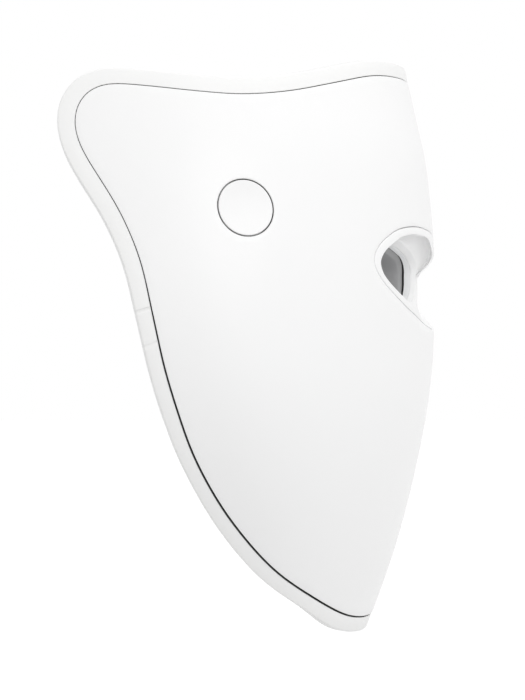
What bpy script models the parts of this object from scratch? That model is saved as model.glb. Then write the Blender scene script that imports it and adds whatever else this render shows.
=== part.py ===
"""A rigid light-therapy face mask: curved shell, rim, eye bezels, push buttons, light boards and seals.

Every curved piece is drawn flat, as it would lie on a table, and wrapped onto the form of the mask. A flat
point has a place along the skin from the middle of the face (along), a height (up) and a depth below the
outer skin (depth). The origin is where the nose bridge rests, with the front towards -Y and +Z up.
"""
import bisect
import math

import bmesh
import bpy
import numpy as np
from mathutils import Matrix, Vector
from mathutils.geometry import delaunay_2d_cdt

# Form of the mask
FRONT_REACH = 0.0182
SEAT_SETBACK = 0.014
HALF_WIDTH = 0.088
TURN_DEPTH = 0.087
TAPER_RADIUS = 0.150
UPPER_REACH = 0.0736
LOWER_REACH = 0.120
EAR_REACH = 0.1711
FRONT_SHARES = [(-1.05, -0.39), (-0.865, 0.06), (-0.683, 0.42), (-0.5, 0.70), (-0.319, 0.90),
                (-0.137, 0.99), (0.1, 1.0), (0.371, 0.92), (0.668, 0.76), (0.817, 0.62), (1.05, 0.42)]
WIDTH_SHARES = [(-1.05, 0.36), (-0.75, 0.64), (-0.42, 0.88), (-0.08, 0.99), (0.15, 1.0), (0.65, 0.96),
                (1.05, 0.88)]
TURN_SHARES = [(-1.05, 0.33), (-0.75, 0.61), (-0.42, 0.86), (-0.08, 0.99), (0.15, 1.0), (1.05, 1.0)]
NORMAL_STEP = 0.0005

# Dip of the nose bridge between the eyes
DIP_DEPTH = 0.0065
DIP_FLAT_HALF = 0.012
DIP_END_HALF = 0.026
DIP_TOP = 0.0110
DIP_TOP_FLAT = 0.0031
DIP_TOP_POWER = 1.6
DIP_LOW_FLAT = -0.0085
DIP_LOW = -0.0168
BRIDGE_GRID = 0.0025

# Outline of the shell, half of it, from the middle of the chin up to the middle of the forehead
SHELL_SHARES = [(0.0, -0.993), (0.083, -0.998), (0.156, -0.987), (0.262, -0.933), (0.402, -0.839),
                (0.547, -0.703), (0.658, -0.57), (0.742, -0.44), (0.822, -0.268), (0.870, -0.098),
                (0.902, 0.116), (0.935, 0.324), (0.966, 0.463), (0.996, 0.604), (1.003, 0.71),
                (0.986, 0.815), (0.954, 0.885), (0.915, 0.912), (0.844, 0.901), (0.75, 0.878),
                (0.655, 0.864), (0.548, 0.885), (0.422, 0.938), (0.3, 0.985), (0.181, 0.995), (0.0, 0.986)]
OUTLINE_STEP = 0.0090
CORNER_PULL = 0.0120
SHELL_GRID = 0.0105
SEAM_GAP = 0.0004
FIT_GAP = 0.0003
SHELL_WALL = 0.0022

# Rim of the housing round the shell
RIM_WIDTH = 0.0059
RIM_CHIN_WIDTH = 0.0047
RIM_DEPTH = 0.0120
RIM_WALL = 0.0020
RIM_LEDGE = 0.0050
RIM_LEDGE_WALL = 0.0015
RIM_ROUND = 0.0018
RIM_PROUD_DROP = 0.0002

# Liner that closes the housing towards the face
LINER_WALL = 0.0016
LINER_GRID = 0.0125

# Eye opening, its centre, half sizes and outline
EYE_ALONG = 0.037
EYE_UP = 0.002
EYE_HALF_LENGTH = 0.0293
EYE_HALF_HEIGHT = 0.018
EYE_SHARES = [(-0.870, 0.844), (-0.304, 0.940), (0.109, 0.985), (0.461, 0.911), (0.693, 0.772),
              (0.870, 0.600), (0.966, 0.422), (0.986, 0.267), (0.956, 0.117), (0.874, -0.044),
              (0.734, -0.228), (0.454, -0.494), (0.280, -0.628), (-0.085, -0.833), (-0.532, -0.989),
              (-0.802, -1.033), (-0.945, -0.861), (-0.99, -0.444), (-1.0, 0.111), (-0.98, 0.556)]
EYE_STEPS = 36
BEZEL_WIDTH = 0.0027
BEZEL_EDGE_SHARE = 0.2
BEZEL_FOOT = 0.0019

# Scoop inside the bezel: how far it has gone inwards and back, and the smaller opening where it ends
SCOOP_SHARES = [(0.0, 0.0), (0.09, 0.08), (0.19, 0.30), (0.33, 0.54), (0.52, 0.76), (0.75, 0.92),
                (1.0, 1.0)]
SCOOP_DEPTH = 0.0064
SCOOP_BRIDGE_DEPTH = 0.0009
BEZEL_DEPTH = 0.0087
BEZEL_BRIDGE_DEPTH = 0.0052
BEZEL_BACK_SHARE = 0.7
BEZEL_SKIRT_SHARE = 0.3
OPENING_HALF_LENGTH = 0.0235
OPENING_HALF_HEIGHT = 0.0130
OPENING_SHARES = [(-0.80, 0.50), (-0.62, 0.66), (-0.35, 0.81), (0.10, 1.0), (0.45, 0.89), (0.68, 0.71),
                  (0.85, 0.54), (0.945, 0.38), (0.965, 0.24), (0.935, 0.105), (0.855, -0.04),
                  (0.72, -0.205), (0.445, -0.445), (0.275, -0.565), (-0.083, -0.75), (-0.45, -0.84),
                  (-0.70, -0.74), (-0.87, -0.50), (-0.96, -0.20), (-0.97, 0.10), (-0.92, 0.30)]
COLLAR_RECESS = 0.0003
COLLAR_WALL = 0.0016
COLLAR_LEAN = 0.0009

# Soft cup behind each eye opening
CUP_FRONT = 0.0110
CUP_LIP = 0.0020
CUP_LIP_DROP = 0.0010
CUP_FOOT_INSET = 0.0012
CUP_FOOT_WALL = 0.0017
CUP_WALL = 0.0014
CUP_DEPTH = 0.0250
CUP_FLARE = 0.0030

# Push buttons
BUTTON_ALONG = 0.1166
BUTTON_UP = 0.0245
BUTTON_RADIUS = 0.0095
BUTTON_DISH = 0.0011
BUTTON_EDGE = 0.0004
BUTTON_FLANGE = 0.0011
BUTTON_FLANGE_WALL = 0.0008
BUTTON_TRAVEL = 0.0005
BUTTON_STEM_RADIUS = 0.0020
BUTTON_STEM = 0.0012
BUTTON_STEPS = 30
SWITCH_BOARD_RADIUS = 0.0145
SWITCH_BODY = 0.0060
SWITCH_HEIGHT = 0.0022
SWITCH_POST_REACH = 0.0126
SWITCH_POSTS = 3

# Screws that pull the liner against the shell's bosses, placed in shares of the ear reach and height
SCREW_SHARES = [(0.30, 0.86), (0.86, 0.70), (0.66, -0.42)]
SCREW_SHAFT_RADIUS = 0.0010
SCREW_HEAD_RADIUS = 0.0021
SCREW_HEAD = 0.0012
SCREW_BITE = 0.0050
BOSS_RADIUS = 0.0030
BORE_CLEARANCE = 0.0004
SMALL_STEPS = 8

# Light boards and their lamps
BOARD_WALL = 0.0007
LAMP_HALF = 0.0017
LAMP_HEIGHT = 0.0006
LAMP_PITCH = 0.0165
LAMP_MARGIN = 0.0045
BOARD_GRID = 0.0140
BOARD_STEP = 0.0100
FOREHEAD_BOARD_HALF = 0.0930
FOREHEAD_BOARD_SHARES = (0.367, 0.761)
FOREHEAD_CORNER = 0.0080
CHEEK_SHARES = [(0.10, -0.23), (0.40, -0.13), (0.66, 0.02), (0.77, 0.00), (0.79, -0.14), (0.72, -0.34),
                (0.58, -0.36), (0.45, -0.56), (0.24, -0.62), (0.12, -0.50)]
CHIN_BOARD_HALF = 0.0300
CHIN_BOARD_SHARES = (-0.875, -0.70)
CHIN_CORNER = 0.0060

# Control board, cells and charging socket
PCB_WALL = 0.0010
MAIN_HALF_LENGTH = 0.0190
MAIN_HALF_HEIGHT = 0.0100
MAIN_UP = 0.0420
CHIP_HALF = 0.0035
CHIP_OFFSET = 0.0090
CHIP_HEIGHT = 0.0009
CELL_HALF_LENGTH = 0.0130
CELL_HALF_HEIGHT = 0.0120
CELL_WALL = 0.0038
CELL_ALONG = 0.0420
CELL_CORNER = 0.0020
SOCKET_WIDTH = 0.0090
SOCKET_HEIGHT = 0.0033
SOCKET_LENGTH = 0.0073
SOCKET_SKIN = 0.0003
SOCKET_TONGUE_HALF = 0.0033
SOCKET_TONGUE_THICK = 0.0007
SOCKET_SHARE = 0.375
SOCKET_BOARD_LENGTH = 0.0120
SOCKET_BOARD_HALF = 0.0070

# Strap anchor set in the rim
ANCHOR_SHARE = 0.11
ANCHOR_LENGTH = 0.0092
ANCHOR_SLOT_LENGTH = 0.0060
ANCHOR_SLOT_WIDTH = 0.0044
ANCHOR_SLOT_DEPTH = 0.0036

# Soft pads and seal on the face side
SEAL_FOOT = 0.0055
SEAL_FOOT_WALL = 0.0012
SEAL_LIP_WALL = 0.0012
SEAL_LIP_DEPTH = 0.0060
SEAL_LEAN = 0.0030
NOSE_PAD_HALF = 0.0066
NOSE_PAD_LOW = -0.0080
NOSE_PAD_HIGH = 0.0090
NOSE_PAD_GROOVE_HALF = 0.0030
NOSE_PAD_WING = 0.0030
FOREHEAD_PAD_HALF = 0.0300
FOREHEAD_PAD_SHARES = (0.7065, 0.8424)
FOREHEAD_PAD_WALL = 0.0080
FOREHEAD_PAD_ROUND = 0.0020

# Depths that the layers share, and heights on the rim
LEDGE_FRONT = SHELL_WALL + SEAM_GAP
LEDGE_BACK = LEDGE_FRONT + RIM_LEDGE_WALL
LINER_FRONT = RIM_DEPTH - LINER_WALL
BEHIND_LINER = RIM_DEPTH + FIT_GAP
LAMP_BACK = LINER_FRONT - FIT_GAP
BOARD_BACK = LAMP_BACK - LAMP_HEIGHT
BOARD_FRONT = BOARD_BACK - BOARD_WALL
CUT_OVERRUN = 0.0020
FLAT_CLEARANCE = 0.0008
SOCKET_UP = -SOCKET_SHARE * LOWER_REACH
ANCHOR_UP = -ANCHOR_SHARE * LOWER_REACH
WELD = 0.000001


# Curves and the form

def reach_at(share):
    """Gives the height that a share of the reach above or below the eyes stands for."""
    return share * (UPPER_REACH if share > 0 else LOWER_REACH)


def spline(table):
    """Gives the smooth curve through a table of (height share, value), as a function of the height."""
    heights = [reach_at(share) for share, _ in table]
    values = [value for _, value in table]
    last = len(table) - 1
    gaps = np.diff(heights)
    slopes = np.diff(values) / gaps
    system = np.eye(last + 1)
    right = np.zeros(last + 1)
    for i in range(1, last):
        system[i, i - 1:i + 2] = gaps[i - 1], 2 * (gaps[i - 1] + gaps[i]), gaps[i]
        right[i] = 6 * (slopes[i] - slopes[i - 1])
    bends = np.linalg.solve(system, right)

    def read(up):
        part = min(max(bisect.bisect(heights, up) - 1, 0), last - 1)
        gap = gaps[part]
        low = (heights[part + 1] - up) / gap
        high = (up - heights[part]) / gap
        bend = (low ** 3 - low) * bends[part] + (high ** 3 - high) * bends[part + 1]
        return float(low * values[part] + high * values[part + 1] + bend * gap ** 2 / 6)

    return read


def smooth_loop(points, fineness=12):
    """Gives a closed, finely cut smooth curve through the points."""
    count = len(points)
    knots = [Vector(p) for p in points]
    spans = [(knots[(i + 1) % count] - knots[i]).length for i in range(count)]
    slopes = []
    for i in range(count):
        run = spans[i - 1] + spans[i]
        slopes.append((knots[(i + 1) % count] - knots[i - 1]) / run)
    fine = []
    for i in range(count):
        start, end = knots[i], knots[(i + 1) % count]
        pull0, pull1 = slopes[i] * spans[i], slopes[(i + 1) % count] * spans[i]
        for step in range(fineness):
            t = step / fineness
            spread = t * (1 - t)
            rise = end - start
            fine.append(start + rise * t + ((pull0 - rise) * (1 - t) + (rise - pull1) * t) * spread)
    return fine


def travel(fine, pull):
    """Gives the way along a closed curve at each of its points, made longer where the curve turns."""
    ways = [0.0]
    for i, start in enumerate(fine):
        run = fine[(i + 1) % len(fine)] - start
        turn = run.angle(start - fine[i - 1])
        ways.append(ways[-1] + run.length + pull * turn)
    return ways


def even_loop(fine, count, pull=0.0):
    """Cuts a closed curve into a number of points, closer together in its corners if pulled there."""
    ways = travel(fine, pull)
    ring = fine + fine[:1]
    points = []
    part = 0
    for index in range(count):
        target = ways[-1] * index / count
        while ways[part + 1] < target:
            part += 1
        share = (target - ways[part]) / (ways[part + 1] - ways[part])
        points.append(ring[part].lerp(ring[part + 1], share))
    return points


def ramp(low, high, value):
    """Rises smoothly from 0 at low to 1 at high."""
    t = min(max((value - low) / (high - low), 0.0), 1.0)
    return t * t * (3 - 2 * t)


front_at = spline(FRONT_SHARES)
width_at = spline(WIDTH_SHARES)
turn_at = spline(TURN_SHARES)


def skin(along, up):
    """Gives the point of the outer skin for a flat point."""
    front = -SEAT_SETBACK - FRONT_REACH * front_at(up)
    width = HALF_WIDTH * width_at(up)
    turn = TURN_DEPTH * turn_at(up)
    reach = abs(along)
    side = -1 if along < 0 else 1
    angle = reach / turn
    if angle < math.pi / 2:
        return Vector((side * width * math.sin(angle), front + turn * (1 - math.cos(angle)), up))
    run = reach - turn * math.pi / 2
    return Vector((side * (width - run * run / (2 * TAPER_RADIUS)), front + turn + run, up))


def inward(along, up):
    """Gives the direction from the skin into the mask."""
    across = skin(along + NORMAL_STEP, up) - skin(along - NORMAL_STEP, up)
    rise = skin(along, up + NORMAL_STEP) - skin(along, up - NORMAL_STEP)
    return rise.cross(across).normalized()


def bridge_share(along, up):
    """Gives how far a flat point shares in the dip of the nose bridge, from 0 to 1."""
    fade = 1 - ramp(DIP_FLAT_HALF, DIP_END_HALF, abs(along))
    if up < 0:
        return fade * ramp(DIP_LOW, DIP_LOW_FLAT, up)
    fall = (DIP_TOP - up) / (DIP_TOP - DIP_TOP_FLAT)
    return fade * min(max(fall, 0.0), 1.0) ** DIP_TOP_POWER


def wrapped(point):
    """Wraps a flat point (along, up, depth) onto the form."""
    along, up, depth = point
    place = skin(along, up) + inward(along, up) * depth
    place.y += DIP_DEPTH * bridge_share(along, up) * max(0.0, 1 - max(depth, 0.0) / RIM_DEPTH)
    return place


def rigid_frame(along, up, depth, turn=0.0):
    """Gives the frame of a flat, unbent piece: its X along the skin, Y up the skin and Z into the mask."""
    normal = inward(along, up)
    across = (skin(along + NORMAL_STEP, up) - skin(along - NORMAL_STEP, up)).normalized()
    rise = across.cross(normal)
    rise = rise if rise.z > 0 else -rise
    frame = Matrix((across, rise, normal)).transposed().to_4x4()
    frame.translation = skin(along, up) + normal * depth
    return frame @ Matrix.Rotation(turn, 4, "Z")


# Outlines in the flat

def shell_outline():
    half = [(along * EAR_REACH, reach_at(share)) for along, share in SHELL_SHARES]
    other = [(-along, up) for along, up in half[1:-1]]
    fine = smooth_loop(half + other[::-1])
    count = 2 * round(travel(fine, CORNER_PULL)[-1] / OUTLINE_STEP / 2)
    return even_loop(fine, count, CORNER_PULL)


OUTLINE = shell_outline()


def rim_width(up):
    return RIM_CHIN_WIDTH + (RIM_WIDTH - RIM_CHIN_WIDTH) * ramp(-LOWER_REACH, 0, up)


def around_shell(offset, rim_share=0.0):
    """Gives the shell's outline moved outwards by an offset plus a share of the rim's width."""
    count = len(OUTLINE)
    loop = []
    for i, point in enumerate(OUTLINE):
        run = OUTLINE[(i + 1) % count] - OUTLINE[i - 1]
        outward = Vector((run.y, -run.x)).normalized()
        loop.append(point + outward * (offset + rim_share * rim_width(point.y)))
    return loop


def eye_outline(offset, side):
    """Gives one eye's outline, drawn in or let out by an offset."""
    fine = smooth_loop(EYE_SHARES)
    loop = []
    for share in even_loop(fine, EYE_STEPS):
        along = EYE_ALONG + share.x * (EYE_HALF_LENGTH + offset)
        loop.append(Vector((side * along, EYE_UP + share.y * (EYE_HALF_HEIGHT + offset))))
    return loop


def opening_outline(inset, side):
    """Gives the smaller opening where the scoop ends, point for point with the eye's outline."""
    centre = Vector((EYE_ALONG, EYE_UP))
    fine = [(x * OPENING_HALF_LENGTH, y * OPENING_HALF_HEIGHT) for x, y in smooth_loop(OPENING_SHARES)]
    angles = [math.atan2(y, x) for x, y in fine]
    radii = [math.hypot(x, y) for x, y in fine]
    loop = []
    for point in eye_outline(0.0, 1):
        ray = point - centre
        radius = float(np.interp(math.atan2(ray.y, ray.x), angles, radii, period=math.tau))
        place = centre + ray.normalized() * (radius - inset)
        loop.append(Vector((side * place.x, place.y)))
    return loop


def bridge_patch(step):
    """Gives the area of the nose bridge and the size of its triangles."""
    middle = (DIP_TOP + DIP_LOW) / 2
    return rounded_box(EYE_ALONG / 2, DIP_TOP - middle + BRIDGE_GRID, BRIDGE_GRID, 3, 0.0, middle), step


def circle(along, up, radius, steps):
    loop = []
    for i in range(steps):
        angle = math.tau * i / steps
        loop.append(Vector((along + radius * math.cos(angle), up + radius * math.sin(angle))))
    return loop


def rounded_box(half_length, half_height, corner, steps=3, along=0.0, up=0.0):
    loop = []
    for quarter, (sx, sy) in enumerate(((1, 1), (-1, 1), (-1, -1), (1, -1))):
        for step in range(steps + 1):
            angle = math.pi / 2 * (quarter + step / steps)
            loop.append(Vector((along + sx * (half_length - corner) + corner * math.cos(angle),
                                up + sy * (half_height - corner) + corner * math.sin(angle))))
    return loop


def square(half, along, up):
    return [Vector((along + x * half, up + y * half)) for x, y in ((1, 1), (-1, 1), (-1, -1), (1, -1))]


def subdivided(loop, step):
    """Adds points to a loop so that no edge is longer than a step."""
    dense = []
    for i, end in enumerate(loop):
        start = loop[i - 1]
        cuts = max(1, math.ceil((end - start).length / step))
        dense.extend(start.lerp(end, cut / cuts) for cut in range(cuts))
    return dense


def inside(loop, point):
    hit = False
    for i, b in enumerate(loop):
        a = loop[i - 1]
        if (a.y > point.y) != (b.y > point.y):
            if point.x < a.x + (b.x - a.x) * (point.y - a.y) / (b.y - a.y):
                hit = not hit
    return hit


def distance_to(loop, point):
    nearest = math.inf
    for i, b in enumerate(loop):
        a = loop[i - 1]
        run = b - a
        t = min(max((point - a).dot(run) / run.length_squared, 0.0), 1.0)
        nearest = min(nearest, (a + run * t - point).length)
    return nearest


# Solids

def material(name, colour, roughness, metallic=0.0):
    made = bpy.data.materials.new(name)
    made.use_nodes = True
    shader = made.node_tree.nodes["Principled BSDF"]
    shader.inputs["Base Color"].default_value = (*colour, 1.0)
    shader.inputs["Roughness"].default_value = roughness
    shader.inputs["Metallic"].default_value = metallic
    return made


def finished(name, bm, finish, place=wrapped):
    """Places a flat mesh on the form and makes its object."""
    for vert in bm.verts:
        vert.co = place(vert.co)
    bm.normal_update()
    bmesh.ops.recalc_face_normals(bm, faces=bm.faces)
    mesh = bpy.data.meshes.new(name)
    bm.to_mesh(mesh)
    bm.free()
    mesh.shade_smooth()
    mesh.set_sharp_from_angle(angle=math.radians(35))
    made = bpy.data.objects.new(name, mesh)
    made.data.materials.append(finish)
    bpy.context.scene.collection.objects.link(made)
    return made


def grid_seeds(outline, step):
    """Gives the points of a square grid over an outline that is even about the middle."""
    half = max(abs(p.x) for p in outline)
    low = min(p.y for p in outline)
    high = max(p.y for p in outline)
    rows = round((high - low) / step)
    columns = round(half / step)
    for row in range(1, rows):
        for column in range(-columns, columns + 1):
            yield Vector((column * half / columns, low + (high - low) * row / rows))


def seeds_inside(outline, holes, marks, step, limit):
    """Gives the grid points in a limit that lie on the sheet and clear of all its loops."""
    seeds = []
    for seed in grid_seeds(limit, step):
        if inside(outline, seed) and not any(inside(hole, seed) for hole in holes):
            if min(distance_to(loop, seed) for loop in [outline] + holes + marks) > step / 2:
                seeds.append(seed)
    return seeds


def sheet(bm, outline, holes, marks, depth, step, patch=None):
    """Fills a flat outline with triangles at one depth, left open at its holes.

    A patch is an outline and a step: the triangles in it are smaller.
    """
    loops = [outline] + holes + marks
    seeds = []
    if patch:
        seeds = seeds_inside(outline, holes, marks, patch[1], patch[0])
        loops_and_patch = marks + [patch[0]]
        outer = seeds_inside(outline, holes, loops_and_patch, step, outline)
        seeds += [seed for seed in outer if not inside(patch[0], seed)]
    else:
        seeds = seeds_inside(outline, holes, marks, step, outline)
    points = []
    edges = []
    for loop in loops:
        first = len(points)
        points.extend(loop)
        edges.extend((first + i, first + (i + 1) % len(loop)) for i in range(len(loop)))
    flat, _, faces, *_ = delaunay_2d_cdt(points + seeds, edges, [], 1, WELD)
    verts = [bm.verts.new((p.x, p.y, depth)) for p in flat]
    for face in faces:
        centre = sum((flat[i] for i in face), Vector((0, 0))) / len(face)
        if inside(outline, centre) and not any(inside(hole, centre) for hole in holes):
            bm.faces.new([verts[i] for i in face])
    loose = [vert for vert in verts if not vert.link_faces]
    bmesh.ops.delete(bm, geom=loose, context="VERTS")


def extrude_to(bm, faces, depth):
    grown = bmesh.ops.extrude_face_region(bm, geom=faces)["geom"]
    for vert in grown:
        if isinstance(vert, bmesh.types.BMVert):
            vert.co.z = depth


def raise_region(bm, base, depth, outline, left=()):
    """Extrudes the part of a face layer that lies in an outline, apart from what other outlines hold."""
    chosen = []
    for face in bm.faces:
        if all(abs(vert.co.z - base) < WELD for vert in face.verts):
            centre = face.calc_center_median().xy
            if inside(outline, centre) and not any(inside(loop, centre) for loop in left):
                chosen.append(face)
    extrude_to(bm, chosen, depth)
    bmesh.ops.delete(bm, geom=chosen, context="FACES")


def slab(outline, front, back, step, holes=(), marks=(), patch=None):
    bm = bmesh.new()
    sheet(bm, outline, list(holes), list(marks), front, step, patch)
    extrude_to(bm, bm.faces[:], back)
    return bm


def level(loop, depth):
    return [(point.x, point.y, depth) for point in loop]


def ring(sections, closed=True):
    """Joins loops of flat points into a tube that closes on its first loop."""
    bm = bmesh.new()
    rows = [[bm.verts.new(point) for point in loop] for loop in sections]
    count = len(rows[0])
    for row, following in zip(rows, rows[1:] + rows[:1]):
        for i in range(count if closed else count - 1):
            j = (i + 1) % count
            bm.faces.new((row[i], row[j], following[j], following[i]))
    if not closed:
        bm.faces.new([row[0] for row in rows])
        bm.faces.new([row[-1] for row in rows])
    return bm


def turned(along, up, profile, steps):
    """Turns a profile of (radius, depth) round a flat point; it starts and ends on the axis."""
    bm = bmesh.new()
    tip = bm.verts.new((along, up, profile[0][1]))
    base = bm.verts.new((along, up, profile[-1][1]))
    rows = [[bm.verts.new((p.x, p.y, depth)) for p in circle(along, up, radius, steps)]
            for radius, depth in profile[1:-1]]
    for i in range(steps):
        j = (i + 1) % steps
        bm.faces.new((tip, rows[0][i], rows[0][j]))
        bm.faces.new((base, rows[-1][j], rows[-1][i]))
        for row, following in zip(rows, rows[1:]):
            bm.faces.new((row[i], following[i], following[j], row[j]))
    return bm


def cut(target, cutter):
    """Cuts one object out of another for good."""
    modifier = target.modifiers.new("cut", "BOOLEAN")
    modifier.operation = "DIFFERENCE"
    modifier.solver = "EXACT"
    modifier.object = cutter
    cutter.hide_render = True
    cutter.display_type = "WIRE"


def flat_depth(along, up, half_length, half_height, skin_depth):
    """Gives how deep a flat plate must lie to clear the curved wall in front of it."""
    frame = rigid_frame(along, up, 0.0)
    normal = frame.col[2].xyz
    start = frame.translation
    deepest = 0.0
    for x in (-1, 0, 1):
        for y in (-1, 0, 1):
            near = wrapped((along + x * half_length, up + y * half_height, skin_depth))
            deepest = max(deepest, (near - start).dot(normal))
    return deepest + FLAT_CLEARANCE


# Screw places

def screw_places():
    places = []
    for along, share in SCREW_SHARES:
        places.append((along * EAR_REACH, reach_at(share)))
        places.append((-along * EAR_REACH, reach_at(share)))
    return places


# Sub-parts

def make_front_shell(finish):
    bore = SCREW_SHAFT_RADIUS + BORE_CLEARANCE
    holes = [eye_outline(0.0, side) for side in (-1, 1)]
    for side in (-1, 1):
        holes.append(circle(side * BUTTON_ALONG, BUTTON_UP, BUTTON_RADIUS + SEAM_GAP, BUTTON_STEPS))
    bosses = [circle(*place, BOSS_RADIUS, SMALL_STEPS) for place in screw_places()]
    bores = [circle(*place, bore, SMALL_STEPS) for place in screw_places()]
    posts = []
    for side in (-1, 1):
        for index in range(SWITCH_POSTS):
            angle = math.tau * (index + 1 / 4) / SWITCH_POSTS
            posts.append(circle(side * (BUTTON_ALONG + SWITCH_POST_REACH * math.cos(angle)),
                                BUTTON_UP + SWITCH_POST_REACH * math.sin(angle),
                                SCREW_SHAFT_RADIUS, SMALL_STEPS - 2))
    lapped = [around_shell(-RIM_LEDGE)] + [eye_outline(BEZEL_FOOT, side) for side in (-1, 1)]
    bm = slab(OUTLINE, 0.0, SHELL_WALL, SHELL_GRID, holes, bosses + bores + posts + lapped,
              bridge_patch(BRIDGE_GRID))
    for boss, bored in zip(bosses, bores):
        raise_region(bm, SHELL_WALL, LINER_FRONT - FIT_GAP, boss, [bored])
    for post in posts:
        raise_region(bm, SHELL_WALL, switch_board_front() - FIT_GAP, post)
    return finished("front_shell", bm, finish)


def rim_section():
    """Gives the rim's cross-section as (offset, share of the rim's width, depth)."""
    round_half = RIM_ROUND / 3
    return [(SEAM_GAP, 0.0, RIM_PROUD_DROP), (-RIM_ROUND, 1.0, RIM_PROUD_DROP),
            (-round_half, 1.0, RIM_PROUD_DROP + round_half), (0.0, 1.0, RIM_ROUND), (0.0, 1.0, RIM_DEPTH),
            (-RIM_WALL, 1.0, RIM_DEPTH), (-RIM_WALL, 1.0, LEDGE_BACK), (-RIM_LEDGE, 0.0, LEDGE_BACK),
            (-RIM_LEDGE, 0.0, LEDGE_FRONT), (SEAM_GAP, 0.0, LEDGE_FRONT)]


def outline_at(up, side):
    """Gives the outline's point and outward direction at a height on one side."""
    for i, b in enumerate(OUTLINE):
        a = OUTLINE[i - 1]
        if a.x * side > EAR_REACH / 2 and (a.y > up) != (b.y > up):
            t = (up - a.y) / (b.y - a.y)
            run = (b - a).normalized()
            return a.lerp(b, t), Vector((run.y, -run.x))
    raise ValueError("the outline doesn't reach that height")


def edge_frame(up, side, offset, depth):
    """Gives a frame on the rim's edge: its X along the edge, Y into the mask and Z out of the edge."""
    point, outward = outline_at(up, side)
    place = point + outward * offset
    ahead = place + Vector((-outward.y, outward.x)) * NORMAL_STEP
    start = wrapped((*place, depth))
    run = (wrapped((*ahead, depth)) - start).normalized()
    into = inward(*place)
    into = (into - run * into.dot(run)).normalized()
    out = run.cross(into)
    if out.dot(wrapped((*(place + outward * NORMAL_STEP), depth)) - start) < 0:
        run = -run
        out = -out
    frame = Matrix((run, into, out)).transposed().to_4x4()
    frame.translation = start
    return frame


def socket_frame():
    return edge_frame(SOCKET_UP, 1, rim_width(SOCKET_UP) - SOCKET_SKIN, socket_depth())


def edge_block(up, side, inner, outer, half_length, front, back, steps=2):
    """Makes a block that lies across the rim, between two offsets from the seam."""
    middle, outward = outline_at(up, side)
    run = Vector((-outward.y, outward.x))
    loop = []
    for x, y in ((inner, -half_length), (outer, -half_length), (outer, half_length), (inner, half_length)):
        loop.append(middle + outward * x + run * y)
    return slab(subdivided(loop, half_length * 2 / steps), front, back, EAR_REACH)


def make_rim(finish, guide):
    sections = [level(around_shell(offset, share), depth) for offset, share, depth in rim_section()]
    rim = finished("rim_frame", ring(sections), finish)
    for side, name in ((-1, "right"), (1, "left")):
        block = edge_block(ANCHOR_UP, side, SEAM_GAP, RIM_WIDTH + CUT_OVERRUN, ANCHOR_LENGTH / 2,
                           -CUT_OVERRUN, RIM_DEPTH + CUT_OVERRUN)
        cut(rim, finished("anchor_notch_" + name, block, guide))
    half_height = SOCKET_HEIGHT / 2 + FIT_GAP
    hole = rounded_box(SOCKET_WIDTH / 2 + FIT_GAP, half_height, half_height - WELD, 4)
    mouth = slab(hole, -RIM_WALL * 2, CUT_OVERRUN, EAR_REACH)
    cut(rim, finished("socket_mouth", mouth, guide, placed_flat(socket_frame())))
    return rim


def make_anchor(side, name, finish, guide):
    inner = SEAM_GAP + FIT_GAP
    outer = rim_width(ANCHOR_UP)
    wall = outer - RIM_WALL
    half = ANCHOR_LENGTH / 2 - FIT_GAP
    middle, outward = outline_at(ANCHOR_UP, side)
    run = Vector((-outward.y, outward.x))
    round_half = RIM_ROUND / 3
    profile = [(inner, RIM_PROUD_DROP), (outer - RIM_ROUND, RIM_PROUD_DROP),
               (outer - round_half, RIM_PROUD_DROP + round_half), (outer, RIM_ROUND), (outer, RIM_DEPTH),
               (wall, RIM_DEPTH), (wall, LAMP_BACK), (inner, LAMP_BACK)]
    sections = []
    for x, depth in profile:
        start = middle + outward * x
        sections.append(level([start - run * half, start, start + run * half], depth))
    anchor = finished("strap_anchor_" + name, ring(sections, closed=False), finish)
    pocket = slab(rounded_box(ANCHOR_SLOT_LENGTH / 2, ANCHOR_SLOT_WIDTH / 2, ANCHOR_SLOT_WIDTH / 4, 2),
                  -ANCHOR_SLOT_DEPTH, CUT_OVERRUN, EAR_REACH)
    frame = edge_frame(ANCHOR_UP, side, outer, (LEDGE_BACK + LAMP_BACK) / 2)
    cut(anchor, finished("anchor_pocket_" + name, pocket, guide, placed_flat(frame)))
    return anchor


def bezel_end(along, up):
    """Gives the depth of the bezel's back edge, less where the nose bridge lies back."""
    return BEZEL_DEPTH + (BEZEL_BRIDGE_DEPTH - BEZEL_DEPTH) * bridge_share(along, up)


def lean_collar(bm, hole, side):
    """Brings a raised collar up to the bezel's back edge and leans its inner face over the opening."""
    centre = Vector((side * EYE_ALONG, EYE_UP))
    for vert in bm.verts:
        place = vert.co.xy
        if abs(vert.co.z - BEZEL_DEPTH) > WELD:
            continue
        ray = (centre - place).normalized()
        inner = distance_to(hole, place) < WELD
        over = COLLAR_RECESS if inner else COLLAR_RECESS + COLLAR_WALL
        vert.co.z = bezel_end(*(place + ray * over)) + FIT_GAP
        if inner:
            vert.co.xy = place + ray * COLLAR_LEAN


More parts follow.
